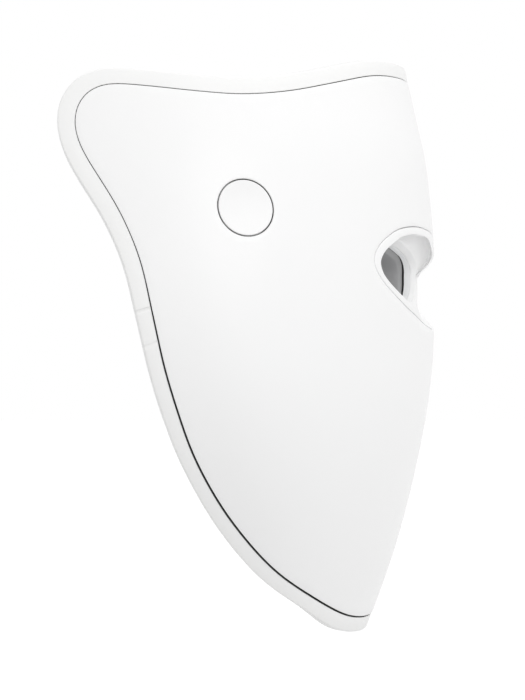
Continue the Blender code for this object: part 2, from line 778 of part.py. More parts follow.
def make_liner(finish):
    hole = SCREW_SHAFT_RADIUS + BORE_CLEARANCE
    holes = [opening_outline(-COLLAR_RECESS, side) for side in (-1, 1)]
    collars = [opening_outline(-COLLAR_RECESS - COLLAR_WALL, side) for side in (-1, 1)]
    bores = [circle(*place, hole, SMALL_STEPS) for place in screw_places()]
    marks = [around_shell(-SEAL_FOOT)] + [eye_outline(-CUP_FOOT_INSET, side) for side in (-1, 1)]
    bm = slab(around_shell(-RIM_WALL - FIT_GAP, 1.0), LINER_FRONT, RIM_DEPTH, LINER_GRID, holes + bores,
              marks + collars, bridge_patch(LINER_GRID / 3))
    for side, hole, collar in zip((-1, 1), holes, collars):
        raise_region(bm, LINER_FRONT, BEZEL_DEPTH, collar)
        lean_collar(bm, hole, side)
    return finished("inner_liner", bm, finish)


def make_bezel(side, name, finish):
    """Makes a bezel: a flush ring, a scoop down to the smaller opening, and a foot behind the shell."""
    foot_front = LEDGE_FRONT + 2 * FIT_GAP
    foot_back = foot_front + RIM_LEDGE_WALL
    inner = opening_outline(0.0, side)
    edge = [point.lerp(end, BEZEL_EDGE_SHARE) for point, end in zip(eye_outline(-BEZEL_WIDTH, side), inner)]
    sections = [level(eye_outline(-SEAM_GAP, side), 0.0)]
    for across, down in SCOOP_SHARES:
        row = []
        for start, end in zip(edge, inner):
            depth = SCOOP_DEPTH + (SCOOP_BRIDGE_DEPTH - SCOOP_DEPTH) * bridge_share(*end)
            row.append((*start.lerp(end, across), depth * down))
        sections.append(row)
    back = [start.lerp(end, BEZEL_BACK_SHARE) for start, end in zip(edge, inner)]
    skirt = [start.lerp(end, BEZEL_SKIRT_SHARE) for start, end in zip(edge, inner)]
    sections.append([(*end, bezel_end(*end)) for end in inner])
    sections.append([(*point, bezel_end(*end)) for point, end in zip(back, inner)])
    sections.append(level(skirt, foot_back))
    sections.append(level(eye_outline(BEZEL_FOOT, side), foot_back))
    sections.append(level(eye_outline(BEZEL_FOOT, side), foot_front))
    sections.append(level(eye_outline(-SEAM_GAP, side), foot_front))
    return finished("eye_bezel_" + name, ring(sections), finish)


def make_eye_cup(side, name, finish):
    """Makes a soft cup whose lip shows in the opening and whose foot lies on the liner."""
    foot = BEHIND_LINER + CUP_FOOT_WALL
    flare = CUP_LIP - CUP_FLARE
    bend = CUP_DEPTH * 2 / 3
    profile = [(0.0, CUP_FRONT), (CUP_LIP, CUP_FRONT + CUP_LIP_DROP), (CUP_LIP, bend),
               (flare, CUP_DEPTH - CUP_WALL / 2), (flare - CUP_WALL / 2, CUP_DEPTH),
               (flare - CUP_WALL, CUP_DEPTH - CUP_WALL), (CUP_LIP - CUP_WALL, bend),
               (CUP_LIP - CUP_WALL, foot)]
    sections = [level(opening_outline(inset, side), depth) for inset, depth in profile]
    sections.append(level(eye_outline(-CUP_FOOT_INSET, side), foot))
    sections.append(level(eye_outline(-CUP_FOOT_INSET, side), BEHIND_LINER))
    sections.append(level(opening_outline(0.0, side), BEHIND_LINER))
    return finished("eye_cup_" + name, ring(sections), finish)


def button_flange_front():
    return SHELL_WALL + SEAM_GAP


def button_back():
    return button_flange_front() + BUTTON_FLANGE_WALL


def make_button(side, name, finish):
    """Makes a dished cap; its object sits on the cap's own travel axis."""
    dish = BUTTON_DISH
    radius = BUTTON_RADIUS
    edge = BUTTON_EDGE
    back = button_back()
    profile = [(0.0, dish)]
    for share in (0.35, 0.65, 0.88):
        profile.append(((radius - edge) * share, dish * (1 - share * share)))
    profile += [(radius - edge, 0.0), (radius, edge), (radius, button_flange_front()),
                (radius + BUTTON_FLANGE, button_flange_front()), (radius + BUTTON_FLANGE, back),
                (BUTTON_STEM_RADIUS, back), (BUTTON_STEM_RADIUS, back + BUTTON_STEM),
                (0.0, back + BUTTON_STEM)]
    bm = turned(side * BUTTON_ALONG, BUTTON_UP, profile, BUTTON_STEPS)
    button = finished("button_" + name, bm, finish)
    centre = skin(side * BUTTON_ALONG, BUTTON_UP)
    button.data.transform(Matrix.Translation(-centre))
    button.location = centre
    return button


def switch_front():
    return button_back() + BUTTON_STEM + BUTTON_TRAVEL + FIT_GAP


def switch_board_front():
    return switch_front() + SWITCH_HEIGHT


def make_switch_board(side, name, finish):
    centre = (side * BUTTON_ALONG, BUTTON_UP)
    body = rounded_box(SWITCH_BODY / 2, SWITCH_BODY / 2, SWITCH_BODY / 8, 1, *centre)
    front = switch_board_front()
    bm = slab(circle(*centre, SWITCH_BOARD_RADIUS, BUTTON_STEPS // 2), front, front + PCB_WALL, SHELL_GRID,
              marks=[body])
    raise_region(bm, front, switch_front(), body)
    return finished("switch_board_" + name, bm, finish)


def lamp_places(outline):
    half = max(abs(p.x) for p in outline)
    low = min(p.y for p in outline)
    high = max(p.y for p in outline)
    rows = max(1, round((high - low) / LAMP_PITCH))
    columns = math.ceil(half / LAMP_PITCH)
    for row in range(rows):
        up = low + (high - low) * (row + 1 / 2) / rows
        for column in range(-columns, columns + 1):
            place = Vector((column * LAMP_PITCH, up))
            if inside(outline, place) and distance_to(outline, place) > LAMP_MARGIN:
                yield place


def make_light_board(name, outline, finish):
    lamps = [square(LAMP_HALF, *place) for place in lamp_places(outline)]
    bm = slab(subdivided(outline, BOARD_STEP), BOARD_FRONT, BOARD_BACK, BOARD_GRID, marks=lamps)
    for lamp in lamps:
        raise_region(bm, BOARD_BACK, LAMP_BACK, lamp)
    return finished(name, bm, finish)


def between(shares):
    """Gives the middle and the half height of a piece that lies between two shares of the height."""
    low, high = (reach_at(share) for share in shares)
    return (low + high) / 2, (high - low) / 2


def forehead_outline():
    middle, half_height = between(FOREHEAD_BOARD_SHARES)
    return rounded_box(FOREHEAD_BOARD_HALF, half_height, FOREHEAD_CORNER, 3, 0.0, middle)


def cheek_outline(side):
    return smooth_loop([(side * along * EAR_REACH, reach_at(share)) for along, share in CHEEK_SHARES], 3)


def chin_outline():
    middle, half_height = between(CHIN_BOARD_SHARES)
    return rounded_box(CHIN_BOARD_HALF, half_height, CHIN_CORNER, 3, 0.0, middle)


def placed_flat(frame):
    return lambda point: frame @ point


def make_main_board(finish):
    outline = rounded_box(MAIN_HALF_LENGTH, MAIN_HALF_HEIGHT, PCB_WALL, 1)
    corner = CHIP_HALF / 8
    chips = [rounded_box(CHIP_HALF, CHIP_HALF, corner, 1, side * CHIP_OFFSET, 0.0) for side in (-1, 1)]
    depth = flat_depth(0.0, MAIN_UP, MAIN_HALF_LENGTH, MAIN_HALF_HEIGHT, SHELL_WALL)
    bm = slab(outline, 0.0, PCB_WALL, EAR_REACH, marks=chips)
    for chip in chips:
        raise_region(bm, 0.0, -CHIP_HEIGHT, chip)
    return finished("main_board", bm, finish, placed_flat(rigid_frame(0.0, MAIN_UP, depth)))


def make_cell(side, name, finish):
    outline = rounded_box(CELL_HALF_LENGTH, CELL_HALF_HEIGHT, CELL_CORNER, 3)
    along = side * CELL_ALONG
    depth = flat_depth(along, MAIN_UP, CELL_HALF_LENGTH, CELL_HALF_HEIGHT, SHELL_WALL)
    bm = slab(outline, 0.0, CELL_WALL, EAR_REACH)
    return finished("battery_cell_" + name, bm, finish, placed_flat(rigid_frame(along, MAIN_UP, depth)))


def socket_depth():
    return (LEDGE_BACK + LINER_FRONT - PCB_WALL - FIT_GAP) / 2


def make_socket(finish):
    corner = SOCKET_HEIGHT / 2
    outer = rounded_box(SOCKET_WIDTH / 2, corner, corner, 3)
    inner = rounded_box(SOCKET_WIDTH / 2 - SOCKET_SKIN, corner - SOCKET_SKIN, corner - SOCKET_SKIN, 3)
    tongue = rounded_box(SOCKET_TONGUE_HALF, SOCKET_TONGUE_THICK / 2, SOCKET_TONGUE_THICK / 8, 1)
    floor = SOCKET_TONGUE_THICK - SOCKET_LENGTH
    bm = slab(outer, -SOCKET_LENGTH, floor, EAR_REACH, marks=[inner, tongue])
    raise_region(bm, floor, 0.0, outer, [inner])
    raise_region(bm, floor, -SOCKET_TONGUE_THICK, tongue)
    return finished("charging_socket", bm, finish, placed_flat(socket_frame()))


def make_socket_board(finish):
    """Makes the small board on which the charging socket sits."""
    outline = rounded_box(SOCKET_BOARD_HALF, SOCKET_BOARD_LENGTH / 2, PCB_WALL, 1)
    bm = slab(outline, 0.0, PCB_WALL, EAR_REACH)
    back = RIM_WALL + FIT_GAP * 2 + SOCKET_BOARD_LENGTH / 2
    seat = Matrix.Translation((0.0, SOCKET_HEIGHT / 2 + FIT_GAP, -back))
    frame = socket_frame() @ seat @ Matrix.Rotation(-math.pi / 2, 4, "X")
    return finished("socket_board", bm, finish, placed_flat(frame))


def make_screw(index, place, finish):
    back = BEHIND_LINER + SCREW_HEAD
    profile = [(0.0, RIM_DEPTH - SCREW_BITE), (SCREW_SHAFT_RADIUS, RIM_DEPTH - SCREW_BITE),
               (SCREW_SHAFT_RADIUS, BEHIND_LINER), (SCREW_HEAD_RADIUS, BEHIND_LINER),
               (SCREW_HEAD_RADIUS, back - SCREW_HEAD / 3), (SCREW_HEAD_RADIUS * 3 / 4, back), (0.0, back)]
    return finished(f"liner_screw_{index}", turned(*place, profile, SMALL_STEPS), finish)


def make_seal(finish):
    front = RIM_DEPTH + SEAM_GAP
    lip = front + SEAL_LIP_DEPTH
    foot = front + SEAL_FOOT_WALL
    outer = -RIM_WALL / 4
    profile = [(-SEAL_FOOT, 0.0, front), (outer, 1.0, front), (outer, 1.0, foot),
               (outer - SEAL_LEAN, 1.0, lip), (outer - SEAL_LEAN - SEAL_LIP_WALL, 1.0, lip),
               (outer - SEAL_LIP_WALL, 1.0, foot), (-SEAL_FOOT, 0.0, foot)]
    sections = [level(around_shell(offset, share), depth) for offset, share, depth in profile]
    return finished("light_seal", ring(sections), finish)


def make_nose_pad(finish):
    middle = (NOSE_PAD_LOW + NOSE_PAD_HIGH) / 2
    half = (NOSE_PAD_HIGH - NOSE_PAD_LOW) / 2
    outline = rounded_box(NOSE_PAD_HALF, half, NOSE_PAD_GROOVE_HALF / 2, 3, 0.0, middle)
    groove = rounded_box(NOSE_PAD_GROOVE_HALF, half * 2, NOSE_PAD_GROOVE_HALF / 2, 3, 0.0, middle)
    seat = SEAT_SETBACK + FRONT_REACH
    bm = slab(subdivided(outline, NOSE_PAD_GROOVE_HALF), BEHIND_LINER, seat, NOSE_PAD_GROOVE_HALF)
    raise_region(bm, seat, seat + NOSE_PAD_WING, outline, [groove])
    return finished("nose_pad", bm, finish)


def make_forehead_pad(finish):
    middle, half = between(FOREHEAD_PAD_SHARES)
    back = BEHIND_LINER + FOREHEAD_PAD_WALL
    corner = FOREHEAD_PAD_ROUND
    profile = ((0.0, BEHIND_LINER), (0.0, back - corner), (corner / 3, back - corner / 3), (corner, back))
    sections = []
    for inset, depth in profile:
        loop = rounded_box(FOREHEAD_PAD_HALF - inset, half - inset, half - inset - WELD, 4, 0.0, middle)
        sections.append((subdivided(loop, FOREHEAD_PAD_HALF / 4), depth))
    bm = bmesh.new()
    rows = [[bm.verts.new((p.x, p.y, depth)) for p in loop] for loop, depth in sections]
    for row, following in zip(rows, rows[1:]):
        for i in range(len(row)):
            bm.faces.new((row[i - 1], row[i], following[i], following[i - 1]))
    for row in (rows[0], rows[-1]):
        half_count = len(row) // 2
        for i in range(half_count - 1):
            bm.faces.new((row[i], row[i + 1], row[-2 - i], row[-1 - i]))
    return finished("forehead_pad", bm, finish)


def build():
    for old in list(bpy.data.objects):
        bpy.data.objects.remove(old, do_unlink=True)
    white = material("white_shell", (0.90, 0.90, 0.91), 0.38)
    rim_white = material("rim_white", (0.86, 0.87, 0.87), 0.42)
    bezel_white = material("bezel_white", (0.90, 0.90, 0.90), 0.35)
    button_white = material("button_white", (0.90, 0.90, 0.91), 0.36)
    frosted = material("frosted_liner", (0.80, 0.82, 0.84), 0.50)
    grey_silicone = material("grey_silicone", (0.20, 0.21, 0.22), 0.60)
    pale_silicone = material("pale_silicone", (0.72, 0.73, 0.74), 0.65)
    board_white = material("board_white", (0.75, 0.76, 0.74), 0.50)
    board_green = material("board_green", (0.05, 0.22, 0.12), 0.45)
    cell_silver = material("cell_silver", (0.55, 0.56, 0.58), 0.40, 0.6)
    steel = material("steel", (0.60, 0.60, 0.62), 0.30, 1.0)
    guide = material("guide", (0.5, 0.5, 0.5), 0.5)

    make_front_shell(white)
    make_rim(rim_white, guide)
    make_liner(frosted)
    make_seal(pale_silicone)
    make_nose_pad(pale_silicone)
    make_forehead_pad(pale_silicone)
    for side, name in ((-1, "right"), (1, "left")):
        make_bezel(side, name, bezel_white)
        make_eye_cup(side, name, grey_silicone)
        make_button(side, name, button_white)
        make_switch_board(side, name, board_green)
        make_anchor(side, name, rim_white, guide)
        make_cell(side, name, cell_silver)
        make_light_board("light_board_cheek_" + name, cheek_outline(side), board_white)
    make_light_board("light_board_forehead", forehead_outline(), board_white)
    make_light_board("light_board_chin", chin_outline(), board_white)
    make_main_board(board_green)
    make_socket(steel)
    make_socket_board(board_green)
    for index, place in enumerate(screw_places(), 1):
        make_screw(index, place, steel)


build()
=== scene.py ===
"""The looks of a rigid light-therapy face mask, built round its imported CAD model.

Curved pieces are drawn flat, as (along, up, depth), and wrapped onto the form of the mask: along runs over the
skin from the middle of the face, up is the height, and depth goes from the outer skin into the mask.
"""
import math

import bmesh
import bpy
import numpy as np
from mathutils import Matrix, Vector
from mathutils.geometry import delaunay_2d_cdt


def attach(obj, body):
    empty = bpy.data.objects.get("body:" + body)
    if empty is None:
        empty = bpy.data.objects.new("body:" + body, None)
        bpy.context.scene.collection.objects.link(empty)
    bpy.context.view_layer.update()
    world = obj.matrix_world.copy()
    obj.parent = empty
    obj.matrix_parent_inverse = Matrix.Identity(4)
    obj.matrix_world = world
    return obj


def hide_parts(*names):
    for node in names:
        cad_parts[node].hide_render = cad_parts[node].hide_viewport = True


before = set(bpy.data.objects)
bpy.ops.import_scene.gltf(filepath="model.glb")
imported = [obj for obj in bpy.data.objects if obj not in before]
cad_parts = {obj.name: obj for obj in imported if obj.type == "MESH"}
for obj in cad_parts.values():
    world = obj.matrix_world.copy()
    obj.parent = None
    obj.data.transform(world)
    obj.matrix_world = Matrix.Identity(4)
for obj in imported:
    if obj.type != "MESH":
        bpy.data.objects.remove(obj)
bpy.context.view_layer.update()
MM = 0.001

# Form of the mask, in metres
FRONT_REACH = 0.0182
SEAT_SETBACK = 0.014
HALF_WIDTH = 0.088
TURN_DEPTH = 0.087
TAPER_RADIUS = 0.150
UPPER_REACH = 0.0736
LOWER_REACH = 0.120
EAR_REACH = 0.1711
FRONT_SHARES = [(-1.05, -0.39), (-0.865, 0.06), (-0.683, 0.42), (-0.5, 0.70), (-0.319, 0.90),
                (-0.137, 0.99), (0.1, 1.0), (0.371, 0.92), (0.668, 0.76), (0.817, 0.62), (1.05, 0.42)]
WIDTH_SHARES = [(-1.05, 0.36), (-0.75, 0.64), (-0.42, 0.88), (-0.08, 0.99), (0.15, 1.0), (0.65, 0.96),
                (1.05, 0.88)]
TURN_SHARES = [(-1.05, 0.33), (-0.75, 0.61), (-0.42, 0.86), (-0.08, 0.99), (0.15, 1.0), (1.05, 1.0)]
DIP_DEPTH = 0.0065
DIP_FLAT_HALF = 0.012
DIP_END_HALF = 0.026
DIP_TOP = 0.0110
DIP_TOP_FLAT = 0.0031
DIP_TOP_POWER = 1.6
DIP_LOW_FLAT = -0.0085
DIP_LOW = -0.0168
DIP_LOW_EASE = 0.14
DIP_LOW_SPREAD = 0.014

# Outlines
SHELL_SHARES = [(0.0, -0.993), (0.083, -0.998), (0.156, -0.987), (0.262, -0.933), (0.402, -0.839),
                (0.547, -0.703), (0.658, -0.57), (0.742, -0.44), (0.822, -0.268), (0.870, -0.098),
                (0.902, 0.116), (0.935, 0.324), (0.966, 0.463), (0.996, 0.604), (1.003, 0.71),
                (0.986, 0.815), (0.954, 0.885), (0.915, 0.912), (0.844, 0.901), (0.75, 0.878),
                (0.655, 0.864), (0.548, 0.885), (0.422, 0.938), (0.3, 0.985), (0.181, 0.995), (0.0, 0.986)]
SHELL_STEPS = 440
SHELL_GRID = 0.0020
LINER_GRID = 0.0040
EYE_ALONG = 0.037
EYE_UP = 0.002
EYE_HALF_LENGTH = 0.0293
EYE_HALF_HEIGHT = 0.018
EYE_SHARES = [(-0.870, 0.840), (-0.304, 0.972), (0.109, 0.985), (0.461, 0.911), (0.693, 0.772),
              (0.870, 0.600), (0.966, 0.422), (0.986, 0.267), (0.956, 0.117), (0.874, -0.044), (0.734, -0.228),
              (0.454, -0.494), (0.280, -0.628), (-0.085, -0.833), (-0.532, -0.989), (-0.802, -1.033),
              (-0.945, -0.861), (-0.99, -0.444), (-1.0, 0.111), (-0.98, 0.556)]
EYE_STEPS = 144

# Layers and edges
SEAM_GAP = 0.0004
EDGE_SEAM = 0.00026
FIT_GAP = 0.0003
SHELL_WALL = 0.0022
EDGE_ROUND = 0.0004
RIM_WIDTHS = [(-1.06, 0.0068), (-0.99, 0.0068), (-0.955, 0.0059), (-0.91, 0.0055), (-0.85, 0.0055),
              (-0.76, 0.0055), (-0.56, 0.0054), (-0.375, 0.0060), (-0.11, 0.0068), (0.05, 0.0072), (0.30, 0.0076),
              (0.60, 0.0077), (0.85, 0.0071), (1.10, 0.0064)]
RIM_DEPTH = 0.0120
RIM_WALL = 0.0020
RIM_LEDGE = 0.0050
RIM_LEDGE_WALL = 0.0015
RIM_EDGE_ROUND = 0.0006
RIM_DRAFT = 0.0013
RIM_DRAFT_DEPTH = 0.0042
RIM_DROP = 0.0002
RIM_USUAL_WIDTH = 0.0055
SEAM_SPREAD = 0.00030
SEAM_SPREAD_FROM = 0.02
SEAM_SPREAD_TO = -0.03
# Faces of a joint deeper than this get the dark grey painted shade
SHADE_FROM = 0.0006
LEDGE_DROP = 0.0008
LINER_WALL = 0.0016
LINER_FRONT = RIM_DEPTH - LINER_WALL
LEDGE_FRONT = SHELL_WALL + SEAM_GAP
LEDGE_BACK = LEDGE_FRONT + RIM_LEDGE_WALL
BEHIND_LINER = RIM_DEPTH + FIT_GAP
BEZEL_EDGE_SHARES = [(-0.631, 0.622), (-0.512, 0.739), (-0.341, 0.806), (-0.137, 0.828), (0.102, 0.833),
                     (0.41, 0.761), (0.611, 0.628), (0.778, 0.472), (0.87, 0.267), (0.823, 0.044),
                     (0.686, -0.144), (0.515, -0.306), (0.334, -0.45), (0.14, -0.572), (-0.068, -0.672),
                     (-0.283, -0.8), (-0.502, -0.861), (-0.734, -0.833), (-0.826, -0.617), (-0.857, -0.4),
                     (-0.87, -0.183), (-0.843, 0.044), (-0.805, 0.194), (-0.758, 0.35), (-0.706, 0.489)]
BEZEL_FOOT = 0.0019
SCOOP_SHARES = [(-0.06, 0.0), (0.0, 0.010), (0.09, 0.09), (0.19, 0.30), (0.33, 0.54), (0.52, 0.76), (0.75, 0.92),
                (0.96, 0.988), (1.0, 1.01)]
SCOOP_DEPTH = 0.0064
SCOOP_BRIDGE_DEPTH = 0.0009
SCOOP_POCKET = 0.0040
SCOOP_POCKET_WALL = 0.0034
SWELL_PEAK = 27 / 4  # brings the highest value of x (1 - x) squared to 1
BEZEL_LEAN = 0.0012
BEZEL_DEPTH = 0.0087
BEZEL_BRIDGE_DEPTH = 0.0052
BEZEL_BACK_SHARE = 0.7
BEZEL_SKIRT_SHARE = 0.3
OPENING_HALF_LENGTH = 0.0235
OPENING_HALF_HEIGHT = 0.0130
OPENING_SHARES = [(-0.80, 0.50), (-0.62, 0.66), (-0.35, 0.81), (0.10, 1.0), (0.45, 0.89), (0.68, 0.71),
                  (0.85, 0.54), (0.945, 0.38), (0.965, 0.24), (0.935, 0.105), (0.855, -0.04), (0.72, -0.205),
                  (0.445, -0.445), (0.275, -0.565), (-0.083, -0.75), (-0.45, -0.84), (-0.70, -0.74),
                  (-0.87, -0.50), (-0.96, -0.20), (-0.97, 0.10), (-0.92, 0.30)]
COLLAR_RECESS = 0.0003
COLLAR_GAP = 0.00005
COLLAR_WALL = 0.0016
COLLAR_LIP_INSET = 0.0013
COLLAR_ROOT_INSET = 0.0019
COLLAR_BRIDGE_RISE = 0.0011
SLOT_RECESS = 0.0012
EYE_SEAM_GAP = 0.00022
CUP_INSET = 0.0011
CUP_FRONT = 0.0109
CUP_LIP = 0.0020
CUP_LIP_DROP = 0.0014
CUP_FOOT_INSET = 0.0012
CUP_FOOT_WALL = 0.0017
CUP_WALL = 0.0014
CUP_DEPTH = 0.0250
CUP_FLARE = 0.0030
CUP_FLARE_FROM = 0.35

# Buttons, screw holes and seal
BUTTON_ALONG = 0.1166
BUTTON_UP = 0.0245
BUTTON_RADIUS = 0.0095
BUTTON_DISH = 0.0011
BUTTON_EDGE = 0.0004
BUTTON_FLANGE = 0.0011
BUTTON_FLANGE_WALL = 0.0008
BUTTON_STEPS = 96
SCREW_SHARES = [(0.30, 0.86), (0.86, 0.70), (0.66, -0.42)]
SCREW_BORE = 0.0014
SEAL_FOOT = 0.0055
SEAL_FOOT_WALL = 0.0012
SEAL_LIP_WALL = 0.0012
SEAL_LIP_DEPTH = 0.0060
SEAL_LEAN = 0.0030

# Strap anchors and charging mouth in the rim
ANCHOR_UP = -0.0132
ANCHOR_HIGH = -0.0089
ANCHOR_LOW = -0.0206
ANCHOR_SLOPE = 0.0017
ANCHOR_END_FALL = 0.0006
RIM_END_FALL = 0.0004
ANCHOR_SLOT_LENGTH = 0.0060
ANCHOR_SLOT_WIDTH = 0.0044
ANCHOR_SLOT_DEPTH = 0.0036
JOINT_GAP = 0.00003
SOCKET_UP = -0.0450
SOCKET_WIDTH = 0.0090
SOCKET_HEIGHT = 0.0033
PCB_WALL = 0.0010
SIDES = ((-1, "right"), (1, "left"))

# Pads, screws and light boards
NOSE_PAD_HALF = 0.0066
NOSE_PAD_LOW = -0.0080
NOSE_PAD_HIGH = 0.0090
NOSE_PAD_WING = 0.0030
NOSE_PAD_END_ROUND = 0.0016
FOREHEAD_PAD_HALF = 0.0300
FOREHEAD_PAD_SHARES = (0.7065, 0.8424)
FOREHEAD_PAD_WALL = 0.0080
FOREHEAD_PAD_ROUND = 0.0024
FOREHEAD_PAD_CROWN = 0.0010
SCREW_SHAFT_RADIUS = 0.0010
SCREW_HEAD_RADIUS = 0.0021
SCREW_HEAD = 0.0012
SCREW_BITE = 0.0050
SCREW_STEPS = 32
SCREW_CROSS = 0.0012
SCREW_CROSS_WIDTH = 0.0005
BOARD_WALL = 0.0007
BOARD_GRID = 0.0060
LAMP_HALF = 0.0017
LAMP_HEIGHT = 0.0006
LAMP_PITCH = 0.0165
LAMP_MARGIN = 0.0045
LAMP_STEPS = 16
LENS_STEPS = 24
LENS_RADIUS = 0.0027
LENS_RISE = 0.0006
LAMP_BACK = LINER_FRONT - FIT_GAP
BOARD_BACK = LAMP_BACK - LAMP_HEIGHT
BOARD_FRONT = BOARD_BACK - BOARD_WALL
FOREHEAD_BOARD_HALF = 0.0930
FOREHEAD_BOARD_SHARES = (0.367, 0.761)
FOREHEAD_CORNER = 0.0080
CHEEK_SHARES = [(0.10, -0.23), (0.40, -0.13), (0.66, 0.02), (0.77, 0.00), (0.79, -0.14), (0.72, -0.34),
                (0.58, -0.36), (0.45, -0.56), (0.24, -0.62), (0.12, -0.50)]
CHIN_BOARD_HALF = 0.0300
CHIN_BOARD_SHARES = (-0.875, -0.70)
CHIN_CORNER = 0.0060


# The form and flat outlines

def reach_at(share):
    """Gives the height for a share of the mask's reach above or below the eyes."""
    return share * (UPPER_REACH if share > 0 else LOWER_REACH)


def spline(table):
    """Gives a smooth curve through the points of a table, as a function of arrays."""
    x, y = np.array([(reach_at(share), value) for share, value in table]).T
    gaps = np.diff(x)
    slopes = np.diff(y) / gaps
    count = len(x)
    system = np.eye(count)
    right = np.zeros(count)
    for i in range(1, count - 1):
        system[i, i - 1:i + 2] = gaps[i - 1], 2 * (gaps[i - 1] + gaps[i]), gaps[i]
        right[i] = 6 * (slopes[i] - slopes[i - 1])
    bends = np.linalg.solve(system, right)

    def read(place):
        """Reads the curve's values."""
        part = np.clip(np.searchsorted(x, place) - 1, 0, count - 2)
        gap = gaps[part]
        low = (x[part + 1] - place) / gap
        high = (place - x[part]) / gap
        curve = ((low ** 3 - low) * bends[part] + (high ** 3 - high) * bends[part + 1]) * gap ** 2 / 6
        return low * y[part] + high * y[part + 1] + curve

    return read


front_at = spline(FRONT_SHARES)
width_at = spline(WIDTH_SHARES)
turn_at = spline(TURN_SHARES)


def ramp(low, high, value):
    """Rises smoothly from 0 at low to 1 at high."""
    t = np.clip((value - low) / (high - low), 0.0, 1.0)
    return t * t * (3 - 2 * t)


def eased_line(low, high, value, ease):
    """Rises straight from 0 at low to 1 at high, with a short bend at each end."""
    t = np.clip((value - low) / (high - low), 0.0, 1.0)
    end = np.minimum(t, 1 - t)
    rise = np.where(end < ease, end * end / (2 * ease), end - ease / 2) / (1 - ease)
    return np.where(t < 0.5, rise, 1 - rise)


def skin(along, up):
    """Gives the points of the outer skin for flat places."""
    front = -SEAT_SETBACK - FRONT_REACH * front_at(up)
    width = HALF_WIDTH * width_at(up)
    turn = TURN_DEPTH * turn_at(up)
    reach = np.abs(along)
    side = np.where(along < 0, -1.0, 1.0)
    angle = np.minimum(reach / turn, math.pi / 2)
    run = np.maximum(reach - turn * math.pi / 2, 0.0)
    x = side * (width * np.sin(angle) - run * run / (2 * TAPER_RADIUS))
    y = front + turn * (1 - np.cos(angle)) + run
    return np.stack((x, y, up), axis=1)


def bridge_share(along, up, spread=0.0):
    """Gives how far flat places share in the dip of the nose bridge, from 0 to 1."""
    fade = 1 - ramp(DIP_FLAT_HALF, DIP_END_HALF + spread * ramp(0.0, DIP_LOW_FLAT, up), np.abs(along))
    fall = np.clip((DIP_TOP - up) / (DIP_TOP - DIP_TOP_FLAT), 0.0, 1.0) ** DIP_TOP_POWER
    return fade * np.where(up < 0, eased_line(DIP_LOW, DIP_LOW_FLAT, up, DIP_LOW_EASE), fall)


def wrapped(flat):
    """Wraps flat points (along, up, depth) onto the form."""
    along, up, depth = np.asarray(flat, dtype=float).T
    step = MM / 2
    across = skin(along + step, up) - skin(along - step, up)
    rise = skin(along, up + step) - skin(along, up - step)
    inward = np.cross(rise, across)
    inward /= np.linalg.norm(inward, axis=1)[:, None]
    place = skin(along, up) + inward * depth[:, None]
    dip = DIP_DEPTH * bridge_share(along, up, DIP_LOW_SPREAD)
    place[:, 1] += dip * np.maximum(0.0, 1 - np.maximum(depth, 0.0) / RIM_DEPTH)
    return place


def smooth_loop(points, fineness=24):
    """Gives a closed smooth curve through the points."""
    knots = np.array(points, dtype=float)
    after = np.roll(knots, -1, axis=0)
    spans = np.linalg.norm(after - knots, axis=1)
    before = np.roll(spans, 1)
    slopes = (after - np.roll(knots, 1, axis=0)) / (before + spans)[:, None]
    pull0 = slopes * spans[:, None]
    pull1 = np.roll(slopes, -1, axis=0) * spans[:, None]
    rise = after - knots
    fine = []
    for step in range(fineness):
        t = step / fineness
        fine.append(knots + rise * t + ((pull0 - rise) * (1 - t) + (rise - pull1) * t) * t * (1 - t))
    return np.stack(fine, axis=1).reshape(-1, 2)


def even_loop(loop, count):
    """Cuts a closed curve into evenly spaced points."""
    closed = np.vstack((loop, loop[:1]))
    lengths = np.concatenate(([0.0], np.cumsum(np.linalg.norm(np.diff(closed, axis=0), axis=1))))
    targets = np.arange(count) * lengths[-1] / count
    return np.stack([np.interp(targets, lengths, closed[:, k]) for k in (0, 1)], axis=1)


def eased(row, rounds):
    """Rounds small kinks out of a closed row of points or values."""
    for _ in range(rounds):
        row = row / 2 + (np.roll(row, 1, axis=0) + np.roll(row, -1, axis=0)) / 4
    return row


def shell_outline():
    """Gives the front shell's flat outline, both halves."""
    half = [(along * EAR_REACH, reach_at(share)) for along, share in SHELL_SHARES]
    other = [(-along, up) for along, up in half[1:-1]]
    return eased(even_loop(smooth_loop(half + other[::-1]), SHELL_STEPS), 6)


OUTLINE = shell_outline()


def outward_of(loop):
    """Gives the outward direction at each point of a loop."""
    run = np.roll(loop, -1, axis=0) - np.roll(loop, 1, axis=0)
    outward = np.stack((run[:, 1], -run[:, 0]), axis=1)
    return outward / np.linalg.norm(outward, axis=1)[:, None]


rim_width = spline(RIM_WIDTHS)
OUTWARD = outward_of(OUTLINE)
WAYS = np.concatenate(([0.0], np.cumsum(np.linalg.norm(np.diff(OUTLINE, axis=0), axis=1))))
ROUND_TRIP = WAYS[-1] + np.linalg.norm(OUTLINE[0] - OUTLINE[-1])


def around_shell(offset, rim_share=0.0):
    """Gives the shell's outline moved outwards by an offset plus a share of the rim's width."""
    move = offset + rim_share * rim_width(OUTLINE[:, 1])
    return OUTLINE + OUTWARD * move[:, None]


def way_at(up, side):
    """Gives how far along the outline a height is reached on one side."""
    near_ear = OUTLINE[:, 0] * side > EAR_REACH / 2
    order = np.argsort(OUTLINE[near_ear, 1])
    low = OUTLINE[near_ear, 1][order] < UPPER_REACH / 2
    return float(np.interp(up, OUTLINE[near_ear, 1][order][low], WAYS[near_ear][order][low]))


